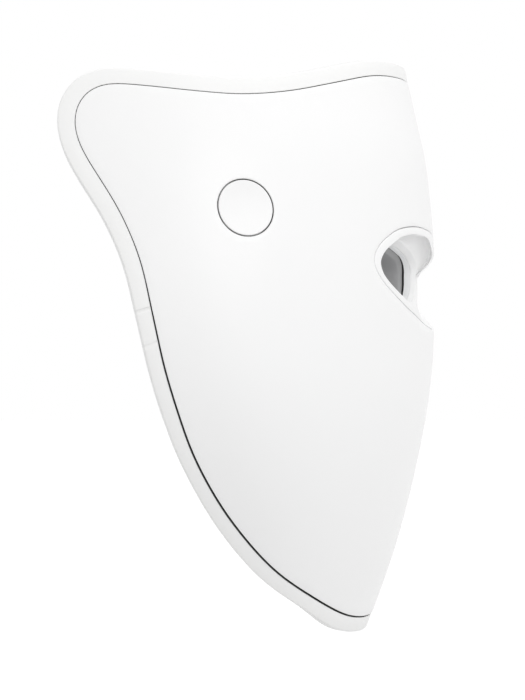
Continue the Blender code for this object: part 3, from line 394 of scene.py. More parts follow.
def along_edge(ways, offset, rim_share=0.0, spread=0.0):
    """Gives points beside the outline at given ways along it."""
    place = np.stack([np.interp(ways, WAYS, OUTLINE[:, k], period=ROUND_TRIP) for k in (0, 1)], axis=1)
    outward = np.stack([np.interp(ways, WAYS, OUTWARD[:, k], period=ROUND_TRIP) for k in (0, 1)], axis=1)
    outward /= np.linalg.norm(outward, axis=1)[:, None]
    move = offset + rim_share * rim_width(place[:, 1])
    move += spread * ramp(SEAM_SPREAD_FROM, SEAM_SPREAD_TO, place[:, 1])
    return place + outward * move[:, None]


def eye_outline(offset, side):
    """Gives one eye's outline, drawn in or let out by an offset."""
    loop = even_loop(smooth_loop(EYE_SHARES), EYE_STEPS)
    along = side * (EYE_ALONG + loop[:, 0] * (EYE_HALF_LENGTH + offset))
    up = EYE_UP + loop[:, 1] * (EYE_HALF_HEIGHT + offset)
    return np.stack((along, up), axis=1)


EYE_CENTRE = np.array((EYE_ALONG, EYE_UP))


def eye_rays():
    """Gives the directions from the eye's centre to the points of its outline."""
    rays = eye_outline(0.0, 1) - EYE_CENTRE
    return rays / np.linalg.norm(rays, axis=1)[:, None]


def on_eye_rays(loop, inset, side):
    """Gives a loop round the eye's centre, point for point with the eye's outline."""
    rays = eye_rays()
    radii = np.interp(np.arctan2(rays[:, 1], rays[:, 0]), np.arctan2(loop[:, 1], loop[:, 0]),
                      np.linalg.norm(loop, axis=1), period=math.tau)
    return (EYE_CENTRE + rays * (radii - inset)[:, None]) * (side, 1)


def opening_outline(inset, side):
    """Gives the smaller opening where the scoop ends."""
    return on_eye_rays(smooth_loop(OPENING_SHARES) * (OPENING_HALF_LENGTH, OPENING_HALF_HEIGHT), inset, side)


def bezel_edge(side):
    """Gives the inner edge of the bezel's flush ring, where the scoop begins."""
    return on_eye_rays(smooth_loop(BEZEL_EDGE_SHARES) * (EYE_HALF_LENGTH, EYE_HALF_HEIGHT), 0.0, side)


def bezel_end(loop):
    """Gives the depth of the bezel's back edge, less where the nose bridge lies back."""
    return BEZEL_DEPTH + (BEZEL_BRIDGE_DEPTH - BEZEL_DEPTH) * bridge_share(*loop.T)


def smooth_run(points, fineness):
    """Gives an open smooth curve through the points."""
    knots = np.array(points, dtype=float)
    knots = np.vstack((2 * knots[0] - knots[1], knots, 2 * knots[-1] - knots[-2]))
    fine = []
    for a, b, c, d in zip(knots, knots[1:], knots[2:], knots[3:]):
        for step in range(fineness):
            t = step / fineness
            fine.append((2 * b + (c - a) * t + (2 * a - 5 * b + 4 * c - d) * t * t
                         + (3 * b - a - 3 * c + d) * t ** 3) / 2)
    fine.append(knots[-2])
    return np.array(fine)


def circle(along, up, radius, steps):
    """Gives a round flat loop."""
    angle = np.arange(steps) * math.tau / steps
    return np.stack((along + radius * np.cos(angle), up + radius * np.sin(angle)), axis=1)


def screw_places():
    """Gives the flat places of the six screws."""
    places = []
    for along, share in SCREW_SHARES:
        places += [(along * EAR_REACH, reach_at(share)), (-along * EAR_REACH, reach_at(share))]
    return places


def rounded_box(half_length, low, high, corner, steps=6):
    """Gives a flat outline about the middle, between two heights, with round corners."""
    loop = []
    middle, half_height = (low + high) / 2, (high - low) / 2
    for quarter, (sx, sy) in enumerate(((1, 1), (-1, 1), (-1, -1), (1, -1))):
        for step in range(steps + 1):
            angle = math.pi / 2 * (quarter + step / steps)
            loop.append((sx * (half_length - corner) + corner * math.cos(angle),
                         middle + sy * (half_height - corner) + corner * math.sin(angle)))
    return np.array(loop)


def lamp_places(outline):
    """Gives the places of the lamps on a light board, in rows."""
    low, high = outline[:, 1].min(), outline[:, 1].max()
    rows = max(1, round((high - low) / LAMP_PITCH))
    columns = math.ceil(np.abs(outline[:, 0]).max() / LAMP_PITCH)
    places = np.array([(column * LAMP_PITCH, low + (high - low) * (row + 0.5) / rows)
                       for row in range(rows) for column in range(-columns, columns + 1)])
    return places[inside(outline, places) & ~near(outline, places, LAMP_MARGIN)]


# Mesh helpers

def inside(loop, points):
    """Says which points lie in a loop."""
    hit = np.zeros(len(points), dtype=bool)
    x, y = points.T
    for a, b in zip(np.roll(loop, 1, axis=0), loop):
        if a[1] != b[1]:
            crosses = (a[1] > y) != (b[1] > y)
            hit ^= crosses & (x < a[0] + (b[0] - a[0]) * (y - a[1]) / (b[1] - a[1]))
    return hit


def near(loop, points, reach):
    """Says which points lie within a reach of a loop."""
    close = np.zeros(len(points), dtype=bool)
    for a, b in zip(np.roll(loop, 1, axis=0), loop):
        run = b - a
        t = np.clip((points - a) @ run / (run @ run), 0.0, 1.0)
        close |= np.linalg.norm(points - a - t[:, None] * run, axis=1) < reach
    return close


def sheet(outline, holes, step):
    """Fills a flat outline, open at its holes: gives the points, the triangles and the edge loops' places."""
    low, high = outline.min(axis=0), outline.max(axis=0)
    columns = 2 * round((high[0] - low[0]) / step / 2) + 1
    rows = round((high[1] - low[1]) / step)
    xs = np.linspace(low[0], high[0], columns)
    ys = np.linspace(low[1], high[1], rows)
    seeds = np.array([(x, y) for y in ys[1:-1] for x in xs[1:-1]])
    keep = inside(outline, seeds) & ~near(outline, seeds, step * 0.6)
    for hole in holes:
        keep &= ~inside(hole, seeds) & ~near(hole, seeds, step * 0.6)
    seeds = seeds[keep]
    points, edges, spans = [], [], []
    for loop in [outline] + holes:
        first = len(points)
        points.extend(Vector(p) for p in loop)
        edges.extend((first + i, first + (i + 1) % len(loop)) for i in range(len(loop)))
        spans.append((first, len(loop)))
    points.extend(Vector(p) for p in seeds)
    flat, _, faces, origins, *_ = delaunay_2d_cdt(points, edges, [], 1, 1e-7)
    order = [origin[0] for origin in origins]
    flat = np.array([tuple(p) for p in flat])
    faces = np.array(faces)
    centres = flat[faces].mean(axis=1)
    good = inside(outline, centres)
    for hole in holes:
        good &= ~inside(hole, centres)
    places = {origin: i for i, origin in enumerate(order)}
    loops = [[places[first + i] for i in range(count)] for first, count in spans]
    return flat, faces[good], loops


def mesh_object(name, verts, faces):
    """Makes an object from points and faces."""
    mesh = bpy.data.meshes.new(name)
    mesh.from_pydata([tuple(v) for v in verts], [], [tuple(int(i) for i in f) for f in faces])
    made = bpy.data.objects.new(name, mesh)
    bpy.context.collection.objects.link(made)
    return made


def select_only(piece):
    """Selects one object, for Blender's operators."""
    bpy.ops.object.select_all(action="DESELECT")
    piece.select_set(True)
    bpy.context.view_layer.objects.active = piece


def mark(piece, faces, number=1):
    """Notes the faces that get one of a piece's further finishes."""
    marks = piece.data.attributes.get("finish") or piece.data.attributes.new("finish", "INT", "FACE")
    numbers = np.zeros(len(piece.data.polygons), dtype=np.int32)
    marks.data.foreach_get("value", numbers)
    numbers[list(faces)] = number
    marks.data.foreach_set("value", numbers)


def near_eye(place):
    """Says whether a flat place is at an eye opening."""
    return (abs(abs(place.x) - EYE_ALONG) < EYE_HALF_LENGTH * 1.1
            and abs(place.y - EYE_UP) < EYE_HALF_HEIGHT * 1.15)


def wrap(piece):
    """Wraps a piece that was drawn flat onto the form."""
    flat = np.array([tuple(vert.co) for vert in piece.data.vertices])
    piece.data.vertices.foreach_set("co", wrapped(flat).ravel())
    piece.data.update()


def closed_up(piece):
    """Merges doubles and turns the faces outwards."""
    select_only(piece)
    bpy.ops.object.mode_set(mode="EDIT")
    bpy.ops.mesh.select_all(action="SELECT")
    bpy.ops.mesh.remove_doubles(threshold=1e-6)
    bpy.ops.mesh.normals_make_consistent(inside=False)
    bpy.ops.object.mode_set(mode="OBJECT")


def join(piece, others):
    """Makes pieces that were drawn flat one mesh."""
    select_only(piece)
    for other in others:
        other.select_set(True)
    bpy.ops.object.join()


def dress(piece, finish, replaces, body="mask", sharp=35, further=None):
    """Closes, smooths and colours a piece, and says what it rides on and stands for."""
    closed_up(piece)
    bpy.ops.object.shade_smooth_by_angle(angle=math.radians(sharp))
    piece.data.materials.clear()
    piece.data.materials.append(finish)
    marks = piece.data.attributes.get("finish")
    if marks:
        numbers = np.zeros(len(piece.data.polygons), dtype=np.int32)
        marks.data.foreach_get("value", numbers)
        piece.data.attributes.remove(marks)
        if numbers.any():
            # By default the marked faces get the dark grey painted shade of joints and recesses
            for other in further or [seam_shade]:
                piece.data.materials.append(other)
            piece.data.polygons.foreach_set("material_index", numbers)
    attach(piece, body)
    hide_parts(*replaces)


def panel(name, outline_at, hole_makers, front, back, step, edge_round):
    """Makes a flat plate with rounded front edges. An outline maker takes an offset outwards."""
    makers = [outline_at] + hole_makers
    loops = [make(-edge_round) for make in makers]
    flat, faces, spans = sheet(loops[0], loops[1:], step)
    count = len(flat)
    verts = [np.column_stack((flat, np.full(count, front)))]
    under = np.column_stack((flat, np.full(count, back)))
    for make, span in zip(makers, spans):
        under[span, :2] = make(0.0)
    verts.append(under)
    all_faces = [tuple(f) for f in faces] + [(f[2] + count, f[1] + count, f[0] + count) for f in faces]
    start = 2 * count
    for make, span in zip(makers, spans):
        rows = [list(span)]
        for step_angle in (30, 60, 90):
            angle = math.radians(step_angle)
            loop = make(-edge_round * (1 - math.sin(angle)))
            depth = front + edge_round * (1 - math.cos(angle))
            verts.append(np.column_stack((loop, np.full(len(loop), depth))))
            rows.append(list(range(start, start + len(loop))))
            start += len(loop)
        rows.append([i + count for i in span])
        for row, following in zip(rows, rows[1:]):
            for i in range(len(row)):
                j = (i + 1) % len(row)
                all_faces.append((row[i], row[j], following[j], following[i]))
    return mesh_object(name, np.vstack(verts), all_faces)


def ring(name, sections, closed_run=True, shaded_rows=(), capped=False):
    """Joins loops of (points, depth) into a closed tube, or into a capped body.

    Its shaded rows are faces with a second finish: a dark grey painted shade inside a joint or a recess, where
    shadow falls.
    """
    verts = np.vstack([np.column_stack((loop, np.full(len(loop), depth))) for loop, depth in sections])
    count = len(sections[0][0])
    rows = len(sections)
    faces = []
    for row in range(rows - 1 if capped else rows):
        following = (row + 1) % rows
        for i in range(count if closed_run else count - 1):
            j = (i + 1) % count
            faces.append((row * count + i, row * count + j, following * count + j, following * count + i))
    if capped:
        faces.append(list(range(count)))
        faces.append(list(range((rows - 1) * count, rows * count)))
    if not closed_run:
        faces.append([row * count for row in range(rows)])
        faces.append([row * count + count - 1 for row in range(rows)])
    made = mesh_object(name, verts, faces)
    across = count if closed_run else count - 1
    mark(made, [row % rows * across + i for row in shaded_rows for i in range(across)])
    return made


def spun(name, profile, centre, steps):
    """Spins a half profile of (radius, depth), drawn flat, about a place."""
    made = mesh_object(name, [(centre.x + radius, centre.y, depth) for radius, depth in profile], [])
    made.data.edges.add(len(profile) - 1)
    made.data.edges.foreach_set("vertices", [i + k for i in range(len(profile) - 1) for k in (0, 1)])
    made.data.update()
    select_only(made)
    bpy.ops.object.mode_set(mode="EDIT")
    bpy.ops.mesh.select_all(action="SELECT")
    bpy.ops.mesh.spin(steps=steps, angle=math.tau, center=centre, axis=(0, 0, 1))
    bpy.ops.object.mode_set(mode="OBJECT")
    closed_up(made)
    return made


def rounded_profile(points, radii, steps=3):
    """Rounds the corners of a closed profile of (offset, share of the rim's width, depth)."""
    points = [np.array(p) for p in points]
    scale = np.array((1.0, RIM_USUAL_WIDTH, 1.0))
    made = []
    for i, (middle, radius) in enumerate(zip(points, radii)):
        before, after = points[i - 1], points[(i + 1) % len(points)]
        if not radius:
            made.append(middle)
            continue
        start = middle + (before - middle) * min(0.48, radius / np.linalg.norm((before - middle) * scale))
        end = middle + (after - middle) * min(0.48, radius / np.linalg.norm((after - middle) * scale))
        for step in range(steps + 1):
            t = step / steps
            made.append(start * (1 - t) ** 2 + middle * 2 * t * (1 - t) + end * t * t)
    return made


def rounded_corner(offset, depth, radius, start, end, steps=6):
    """Gives profile points on an arc about (offset, depth), from one angle to another in degrees."""
    points = []
    for i in range(steps + 1):
        angle = math.radians(start + (end - start) * i / steps)
        points.append((offset + radius * math.cos(angle), depth + radius * math.sin(angle)))
    return points


# Materials

def add_node(nodes, kind, sockets):
    """Adds a node with values on its sockets."""
    made = nodes.new("ShaderNode" + kind)
    for socket, value in sockets.items():
        made.inputs[socket].default_value = value
    return made


def plastic(name, colour, roughness, grain, grain_size, coat=0.0):
    """Makes a moulded plastic with a fine grain and slight unevenness of tone."""
    made = bpy.data.materials.new(name)
    made.use_nodes = True
    nodes, links = made.node_tree.nodes, made.node_tree.links
    shader = nodes["Principled BSDF"]
    shader.inputs["Coat Weight"].default_value = coat
    shader.inputs["Coat Roughness"].default_value = 0.25
    shader.inputs["IOR"].default_value = 1.49
    place = nodes.new("ShaderNodeTexCoord")
    cloud = add_node(nodes, "TexNoise", {"Scale": 14.0, "Detail": 3.0})
    links.new(place.outputs["Object"], cloud.inputs["Vector"])
    tone = nodes.new("ShaderNodeValToRGB")
    tone.color_ramp.elements[0].position = 0.3
    tone.color_ramp.elements[1].position = 0.7
    low = [value * 0.988 for value in colour]
    tone.color_ramp.elements[0].color = (*low, 1.0)
    tone.color_ramp.elements[1].color = (*colour, 1.0)
    links.new(cloud.outputs["Fac"], tone.inputs["Fac"])
    links.new(tone.outputs["Color"], shader.inputs["Base Color"])
    gloss = add_node(nodes, "MapRange", {"To Min": roughness - 0.04, "To Max": roughness + 0.04})
    links.new(cloud.outputs["Fac"], gloss.inputs["Value"])
    links.new(gloss.outputs["Result"], shader.inputs["Roughness"])
    speck = add_node(nodes, "TexNoise", {"Scale": 1.0 / grain_size, "Detail": 2.0})
    links.new(place.outputs["Object"], speck.inputs["Vector"])
    bump = add_node(nodes, "Bump", {"Strength": grain, "Distance": grain_size / 8})
    links.new(speck.outputs["Fac"], bump.inputs["Height"])
    links.new(bump.outputs["Normal"], shader.inputs["Normal"])
    return made


# Dark grey painted shade for the faces deep inside joints and recesses, where shadow falls
seam_shade = plastic("painted_seam_shade", (0.12, 0.12, 0.12), 0.60, 0.10, 0.35 * MM)
shell_white = plastic("satin_white_shell", (0.93, 0.93, 0.93), 0.36, 0.10, 0.35 * MM, coat=0.10)
rim_white = plastic("off_white_rim", (0.915, 0.915, 0.91), 0.46, 0.16, 0.35 * MM)
bezel_white = plastic("white_bezel", (0.935, 0.935, 0.935), 0.42, 0.12, 0.35 * MM)
button_white = plastic("white_button", (0.92, 0.92, 0.92), 0.38, 0.10, 0.35 * MM)
liner_milk = plastic("milky_liner", (0.90, 0.905, 0.91), 0.32, 0.10, 0.5 * MM)
lens_ring = plastic("lens_ring", (0.74, 0.76, 0.79), 0.16, 0.05, 0.5 * MM, coat=0.5)
lamp_gel = plastic("lamp_gel", (0.88, 0.74, 0.36), 0.22, 0.08, 0.4 * MM, coat=0.4)
silicone_grey = plastic("dark_grey_silicone", (0.39, 0.39, 0.395), 0.62, 0.25, 0.30 * MM)
silicone_white = plastic("white_silicone", (0.80, 0.80, 0.79), 0.58, 0.20, 0.30 * MM)
board_white = plastic("white_solder_mask", (0.80, 0.81, 0.78), 0.42, 0.20, 0.6 * MM)
board_green = plastic("green_solder_mask", (0.04, 0.20, 0.11), 0.38, 0.20, 0.6 * MM)
cell_foil = plastic("cell_foil", (0.62, 0.63, 0.65), 0.32, 0.30, 1.2 * MM)
cell_foil.node_tree.nodes["Principled BSDF"].inputs["Metallic"].default_value = 0.8
steel = plastic("plain_steel", (0.60, 0.60, 0.61), 0.30, 0.25, 0.25 * MM)
steel.node_tree.nodes["Principled BSDF"].inputs["Metallic"].default_value = 1.0


# Rigid pieces

def make_shell():
    """Makes the front shell with its holes for the eyes and buttons."""
    holes = [lambda offset, side=side: eye_outline(-offset, side) for side, _ in SIDES]
    for side, _ in SIDES:
        holes.append(lambda offset, side=side: circle(side * BUTTON_ALONG, BUTTON_UP,
                                                      BUTTON_RADIUS + SEAM_GAP - offset, BUTTON_STEPS))
    shell = panel("shell", around_shell, holes, 0.0, SHELL_WALL, SHELL_GRID, EDGE_ROUND)
    # The shell's edge walls deep in the seam get a dark grey painted shade
    mark(shell, [face.index for face in shell.data.polygons
                 if abs(face.normal.z) < 0.5 and face.center.z > SHADE_FROM and not near_eye(face.center)])
    wrap(shell)
    dress(shell, shell_white, ["front_shell"])


def rim_section():
    """Gives the rim's cross-section, its corners rounded, as (offset, share of the rim's width, depth)."""
    corners = [((EDGE_SEAM, 0.0, RIM_DROP), EDGE_ROUND), ((-RIM_DRAFT, 1.0, RIM_DROP), RIM_EDGE_ROUND),
               ((0.0, 1.0, RIM_DRAFT_DEPTH), RIM_EDGE_ROUND), ((0.0, 1.0, RIM_DEPTH), EDGE_ROUND),
               ((-RIM_WALL, 1.0, RIM_DEPTH), 0.0), ((-RIM_WALL, 1.0, LEDGE_BACK), 0.0),
               ((-RIM_LEDGE, 0.0, LEDGE_BACK), 0.0), ((-RIM_LEDGE, 0.0, LEDGE_FRONT + LEDGE_DROP), 0.0),
               ((EDGE_SEAM, 0.0, LEDGE_FRONT + LEDGE_DROP), 0.0)]
    return rounded_profile([point for point, _ in corners], [radius for _, radius in corners])


def rim_run(name, ways, start_fall, end_fall):
    """Makes a stretch of the rim. Its face falls away towards an end by the fall given there."""
    sections = []
    fall = start_fall * (1 - ramp(0.0, ANCHOR_SLOPE, ways - ways[0]))
    fall += end_fall * (1 - ramp(0.0, ANCHOR_SLOPE, ways[-1] - ways))
    for offset, share, depth in rim_section():
        spread = SEAM_SPREAD if share < 0.5 and offset > 0 else 0.0
        face = 1 - ramp(RIM_DROP, RIM_DRAFT_DEPTH, depth)
        sections.append((along_edge(ways, offset, share, spread), depth + fall * face))
    # The rim's last two rows, its wall inside the seam, get a dark grey painted shade
    return ring(name, sections, closed_run=False, shaded_rows=(-2, -1))


def run_ways(start, end):
    """Gives ways from one end of a stretch to the other, closer together near its ends."""
    fine = np.arange(1, 9) * ANCHOR_SLOPE / 8
    middle = np.arange(start + ANCHOR_SLOPE * 1.3, end - ANCHOR_SLOPE * 1.3, ROUND_TRIP / SHELL_STEPS)
    return np.concatenate(([start], start + fine, middle, end - fine[::-1], [end]))


def edge_box(name, up, side, half_length, inner, outer, middle_depth, half_depth, corner):
    """Makes a rounded block that reaches through the rim's outer wall, still flat."""
    way = way_at(up, side)
    place = along_edge(np.array([way]), 0.0)[0]
    out = along_edge(np.array([way]), 1.0)[0] - place
    bpy.ops.mesh.primitive_cube_add(size=1.0)
    block = bpy.context.active_object
    block.name = name
    turn = Matrix(((-out[1], out[0], 0.0), (out[0], out[1], 0.0), (0.0, 0.0, 1.0))).transposed().to_4x4()
    turn.translation = (*(place + out * (inner + outer) / 2), middle_depth)
    size = Matrix.Diagonal((half_length * 2, outer - inner, half_depth * 2, 1.0))
    block.data.transform(turn @ size)
    bm = bmesh.new()
    bm.from_mesh(block.data)
    through = Vector((*out, 0.0)).normalized()
    edges = [e for e in bm.edges if abs((e.verts[1].co - e.verts[0].co).normalized().dot(through)) > 0.9]
    bmesh.ops.bevel(bm, geom=edges, offset=corner, segments=4, profile=0.5, affect="EDGES")
    bmesh.ops.recalc_face_normals(bm, faces=bm.faces)
    bm.to_mesh(block.data)
    bm.free()
    return block


def carve(piece, cutter):
    """Cuts one object out of another and removes the cutter."""
    select_only(piece)
    modifier = piece.modifiers.new("cut", "BOOLEAN")
    modifier.operation = "DIFFERENCE"
    modifier.solver = "EXACT"
    modifier.object = cutter
    bpy.ops.object.modifier_apply(modifier=modifier.name)
    bpy.data.objects.remove(cutter, do_unlink=True)


def make_rim():
    """Makes the rim in two stretches, above and below the strap anchors."""
    right_high, right_low = way_at(ANCHOR_HIGH, -1), way_at(ANCHOR_LOW, -1)
    left_high, left_low = way_at(ANCHOR_HIGH, 1), way_at(ANCHOR_LOW, 1)
    upper = rim_run("rim", run_ways(left_high, right_high), 0.0, 0.0)
    lower = rim_run("rim_lower", run_ways(right_low, left_low + ROUND_TRIP), RIM_END_FALL, RIM_END_FALL)
    closed_up(lower)
    socket_out = float(rim_width(SOCKET_UP))
    half_height = SOCKET_HEIGHT / 2 + FIT_GAP
    middle = (LEDGE_BACK + LINER_FRONT - PCB_WALL - FIT_GAP) / 2
    carve(lower, edge_box("socket_mouth", SOCKET_UP, 1, SOCKET_WIDTH / 2 + FIT_GAP, socket_out - RIM_WALL * 2,
                          socket_out + RIM_WALL, middle, half_height, half_height * 0.98))
    closed_up(upper)
    join(upper, [lower])
    wrap(upper)
    dress(upper, rim_white, ["rim_frame"], sharp=28)


def make_anchor(side, name):
    """Makes the insert in the rim that takes a strap end, with its pocket in the outer wall."""
    low, high = sorted((way_at(ANCHOR_LOW, side), way_at(ANCHOR_HIGH, side)))
    ways = run_ways(low + JOINT_GAP, high - JOINT_GAP)
    falls = (0.0, ANCHOR_END_FALL) if side > 0 else (ANCHOR_END_FALL, 0.0)
    anchor = rim_run("anchor_" + name, ways, *falls)
    closed_up(anchor)
    outer = float(rim_width(ANCHOR_UP))
    carve(anchor, edge_box("pocket", ANCHOR_UP, side, ANCHOR_SLOT_LENGTH / 2, outer - ANCHOR_SLOT_DEPTH,
                           outer + RIM_WALL, (LEDGE_BACK + LINER_FRONT - FIT_GAP) / 2, ANCHOR_SLOT_WIDTH / 2,
                           ANCHOR_SLOT_WIDTH / 4))
    wrap(anchor)
    dress(anchor, rim_white, ["strap_anchor_" + name], sharp=28)


def make_bezel(side, name):
    """Makes a bezel: a flush ring, a scoop that ends at the smaller opening, and a foot behind the shell."""
    foot_front = LEDGE_FRONT + 2 * FIT_GAP
    foot_back = foot_front + RIM_LEDGE_WALL
    inner = opening_outline(0.0, side)
    edge = bezel_edge(side)
    rays = eye_rays()
    lean = opening_outline(BEZEL_LEAN, side)
    pocket = ramp(0.5, 0.85, -rays[:, 0]) * ramp(-0.1, 0.2, rays[:, 1]) * np.sqrt(1 - bridge_share(*inner.T))
    pocket = (rays * eased(pocket, 8)[:, None]) * (side, 1)
    scoop = SCOOP_DEPTH + (SCOOP_BRIDGE_DEPTH - SCOOP_DEPTH) * bridge_share(*inner.T)
    end = bezel_end(inner)
    sections = [(eye_outline(-EYE_SEAM_GAP - EDGE_ROUND * offset, side), EDGE_ROUND * depth)
                for offset, depth in ((0.0, 1.0), (0.08, 0.6), (0.3, 0.3), (0.6, 0.08), (1.0, 0.0))]
    for across, down in smooth_run(SCOOP_SHARES, 4):
        down = max(down, 0.0)
        swell = SCOOP_POCKET * SWELL_PEAK * down * max(1 - down, 0.0) ** 2
        sections.append((edge + (inner - edge) * across + pocket * swell, scoop * down))
    sections.append((lean, end - EDGE_ROUND / 8))
    sections.append((lean + (edge - lean) * 0.02, end))
    sections.append((edge + (inner - edge) * BEZEL_BACK_SHARE, end))
    sections.append((edge + (inner - edge) * BEZEL_SKIRT_SHARE + pocket * SCOOP_POCKET_WALL, foot_back))
    sections.append((eye_outline(BEZEL_FOOT, side), foot_back))
    sections.append((eye_outline(BEZEL_FOOT, side), foot_front))
    sections.append((eye_outline(-EYE_SEAM_GAP, side), foot_front))
    bezel = ring("bezel_" + name, sections)
    wrap(bezel)
    dress(bezel, bezel_white, ["eye_bezel_" + name])


def make_collar(side):
    """Makes the wall that stands round one eye's hole in the liner and leans over the opening."""
    hole = opening_outline(COLLAR_ROOT_INSET, side)
    wall = opening_outline(-COLLAR_RECESS - COLLAR_WALL, side)
    lip = opening_outline(COLLAR_LIP_INSET, side)
    recess = opening_outline(-COLLAR_RECESS - SLOT_RECESS, side)
    top = bezel_end(opening_outline(0.0, side)) + COLLAR_GAP
    foot = LINER_FRONT + LINER_WALL * 0.06
    root = LINER_FRONT - COLLAR_BRIDGE_RISE * bridge_share(*hole.T)
    sections = [(wall, foot), (wall, top + EDGE_ROUND), (wall + (lip - wall) * 0.12, top)]
    sections += [(wall + (lip - wall) * 0.9, top), (wall + (lip - wall) * 0.98, top + EDGE_ROUND * 0.1)]
    for share in (0.12, 0.4, 0.7, 1.0):
        sections.append((lip + (hole - lip) * share, top + (root - top) * share))
    sections += [(recess, root), (recess, foot)]
    # The collar's recess rows get a dark grey painted shade, for the shadowed slot before the cup
    return ring("collar", sections, shaded_rows=(-3, -2))


def board_outlines():
    """Gives the flat outlines of the four light boards."""
    forehead = rounded_box(FOREHEAD_BOARD_HALF, *map(reach_at, FOREHEAD_BOARD_SHARES), FOREHEAD_CORNER)
    chin = rounded_box(CHIN_BOARD_HALF, *map(reach_at, CHIN_BOARD_SHARES), CHIN_CORNER)
    outlines = {"forehead": even_loop(forehead, 120), "chin": even_loop(chin, 64)}
    for side, name in SIDES:
        cheek = smooth_loop([(side * along * EAR_REACH, reach_at(share)) for along, share in CHEEK_SHARES], 8)
        outlines["cheek_" + name] = cheek if side > 0 else cheek[::-1]
    return outlines


def make_lens(place):
    """Makes the low lens that the liner has over a lamp."""
    form = circle(0.0, 0.0, 1.0, LENS_STEPS)
    profile = [(1.0, -0.1), (1.0, 0.35), (0.97, 0.55), (0.90, 0.62), (0.78, 0.50), (0.70, 0.42), (0.55, 0.70),
               (0.38, 0.90), (0.20, 1.0)]
    lens = ring("lens", [(place + form * LENS_RADIUS * share, RIM_DEPTH + LENS_RISE * rise)
                         for share, rise in profile], capped=True)
    mark(lens, range(LENS_STEPS * 5), 2)
    mark(lens, [*range(LENS_STEPS * 5, LENS_STEPS * 8), len(lens.data.polygons) - 1], 3)
    return lens


def make_liner():
    """Makes the liner with its collars round the eyes and its lenses over the lamps."""
    holes = [lambda offset, side=side: opening_outline(-COLLAR_RECESS - SLOT_RECESS - offset, side)
             for side, _ in SIDES]
    for place in screw_places():
        holes.append(lambda offset, place=place: circle(*place, SCREW_BORE - offset, 24))
    liner = panel("liner", lambda offset: around_shell(offset - RIM_WALL - FIT_GAP, 1.0), holes,
                  -RIM_DEPTH, -LINER_FRONT, LINER_GRID, EDGE_ROUND * 0.6)
    for vert in liner.data.vertices:
        vert.co.z = -vert.co.z
    # The liner's hole edges at the eyes get a dark grey painted shade, for the shadowed slot
    mark(liner, [face.index for face in liner.data.polygons
                 if abs(face.normal.z) < 0.9 and near_eye(face.center)])
    parts = [make_collar(side) for side, _ in SIDES]
    for outline in board_outlines().values():
        parts += [make_lens(place) for place in lamp_places(outline)]
    join(liner, parts)
    wrap(liner)
    dress(liner, liner_milk, ["inner_liner"], further=[seam_shade, lens_ring, lamp_gel])


def make_cup(side, name):
    """Makes the soft cup behind an eye opening, with a sloping lip in front and a foot behind the liner."""
    foot = BEHIND_LINER + CUP_FOOT_WALL
    brim = CUP_DEPTH - CUP_WALL / 2
    lip = CUP_FRONT + CUP_LIP_DROP

    def flared(share):
        """Gives the inset and depth of the flared wall a share of the way back."""
        return CUP_LIP - CUP_FLARE * ramp(CUP_FLARE_FROM, 1.0, share), CUP_FRONT + (brim - CUP_FRONT) * share

    profile = [(0.0, CUP_FRONT + EDGE_ROUND), (0.00012, CUP_FRONT + 0.00012), (EDGE_ROUND, CUP_FRONT),
               (CUP_LIP - EDGE_ROUND, lip - 0.0001), (CUP_LIP - 0.00012, lip + 0.0002), (CUP_LIP, lip + 0.0006)]
    profile += [flared(share) for share in (0.3, 0.6, 0.72, 0.84, 0.92)]
    middle = CUP_LIP - CUP_FLARE - CUP_WALL / 2
    profile += rounded_corner(middle, brim, CUP_WALL / 2, 0, 180)
    for inset, depth in map(flared, (0.92, 0.84, 0.72, 0.6)):
        profile.append((inset - CUP_WALL, depth))
    profile += [(CUP_LIP - CUP_WALL, foot + EDGE_ROUND), (CUP_LIP - CUP_WALL - EDGE_ROUND, foot)]
    sections = [(opening_outline(CUP_INSET + inset, side), depth) for inset, depth in profile]
    sections.append((eye_outline(-CUP_FOOT_INSET - EDGE_ROUND, side), foot))
    sections.append((eye_outline(-CUP_FOOT_INSET, side), foot - EDGE_ROUND))
    sections.append((eye_outline(-CUP_FOOT_INSET, side), BEHIND_LINER))
    sections.append((opening_outline(CUP_INSET, side), BEHIND_LINER))
    cup = ring("cup_" + name, sections)
    wrap(cup)
    dress(cup, silicone_grey, ["eye_cup_" + name], sharp=50)


def make_button(side, name):
    """Spins a push button's dished cap, with its flange and stem, and wraps it."""
    radius, edge = BUTTON_RADIUS, BUTTON_EDGE
    flange_front = SHELL_WALL + SEAM_GAP
    back = flange_front + BUTTON_FLANGE_WALL
    profile = []
    for i in range(15):
        share = i / 15
        profile.append(((radius - edge * 1.4) * share, BUTTON_DISH * (1 - share * share)))
    profile += [(radius - edge * 1.4, 0.00004), (radius - edge, 0.0), (radius - edge * 0.3, edge * 0.3),
                (radius, edge), (radius, flange_front), (radius + BUTTON_FLANGE, flange_front),
                (radius + BUTTON_FLANGE, back), (0.002, back), (0.002, back + 0.0012), (0.0, back + 0.0012)]
    cap = spun("button_cap_" + name, profile, Vector((side * BUTTON_ALONG, BUTTON_UP, 0.0)), BUTTON_STEPS)
    wrap(cap)
    dress(cap, button_white, ["button_" + name], body="button_" + name)


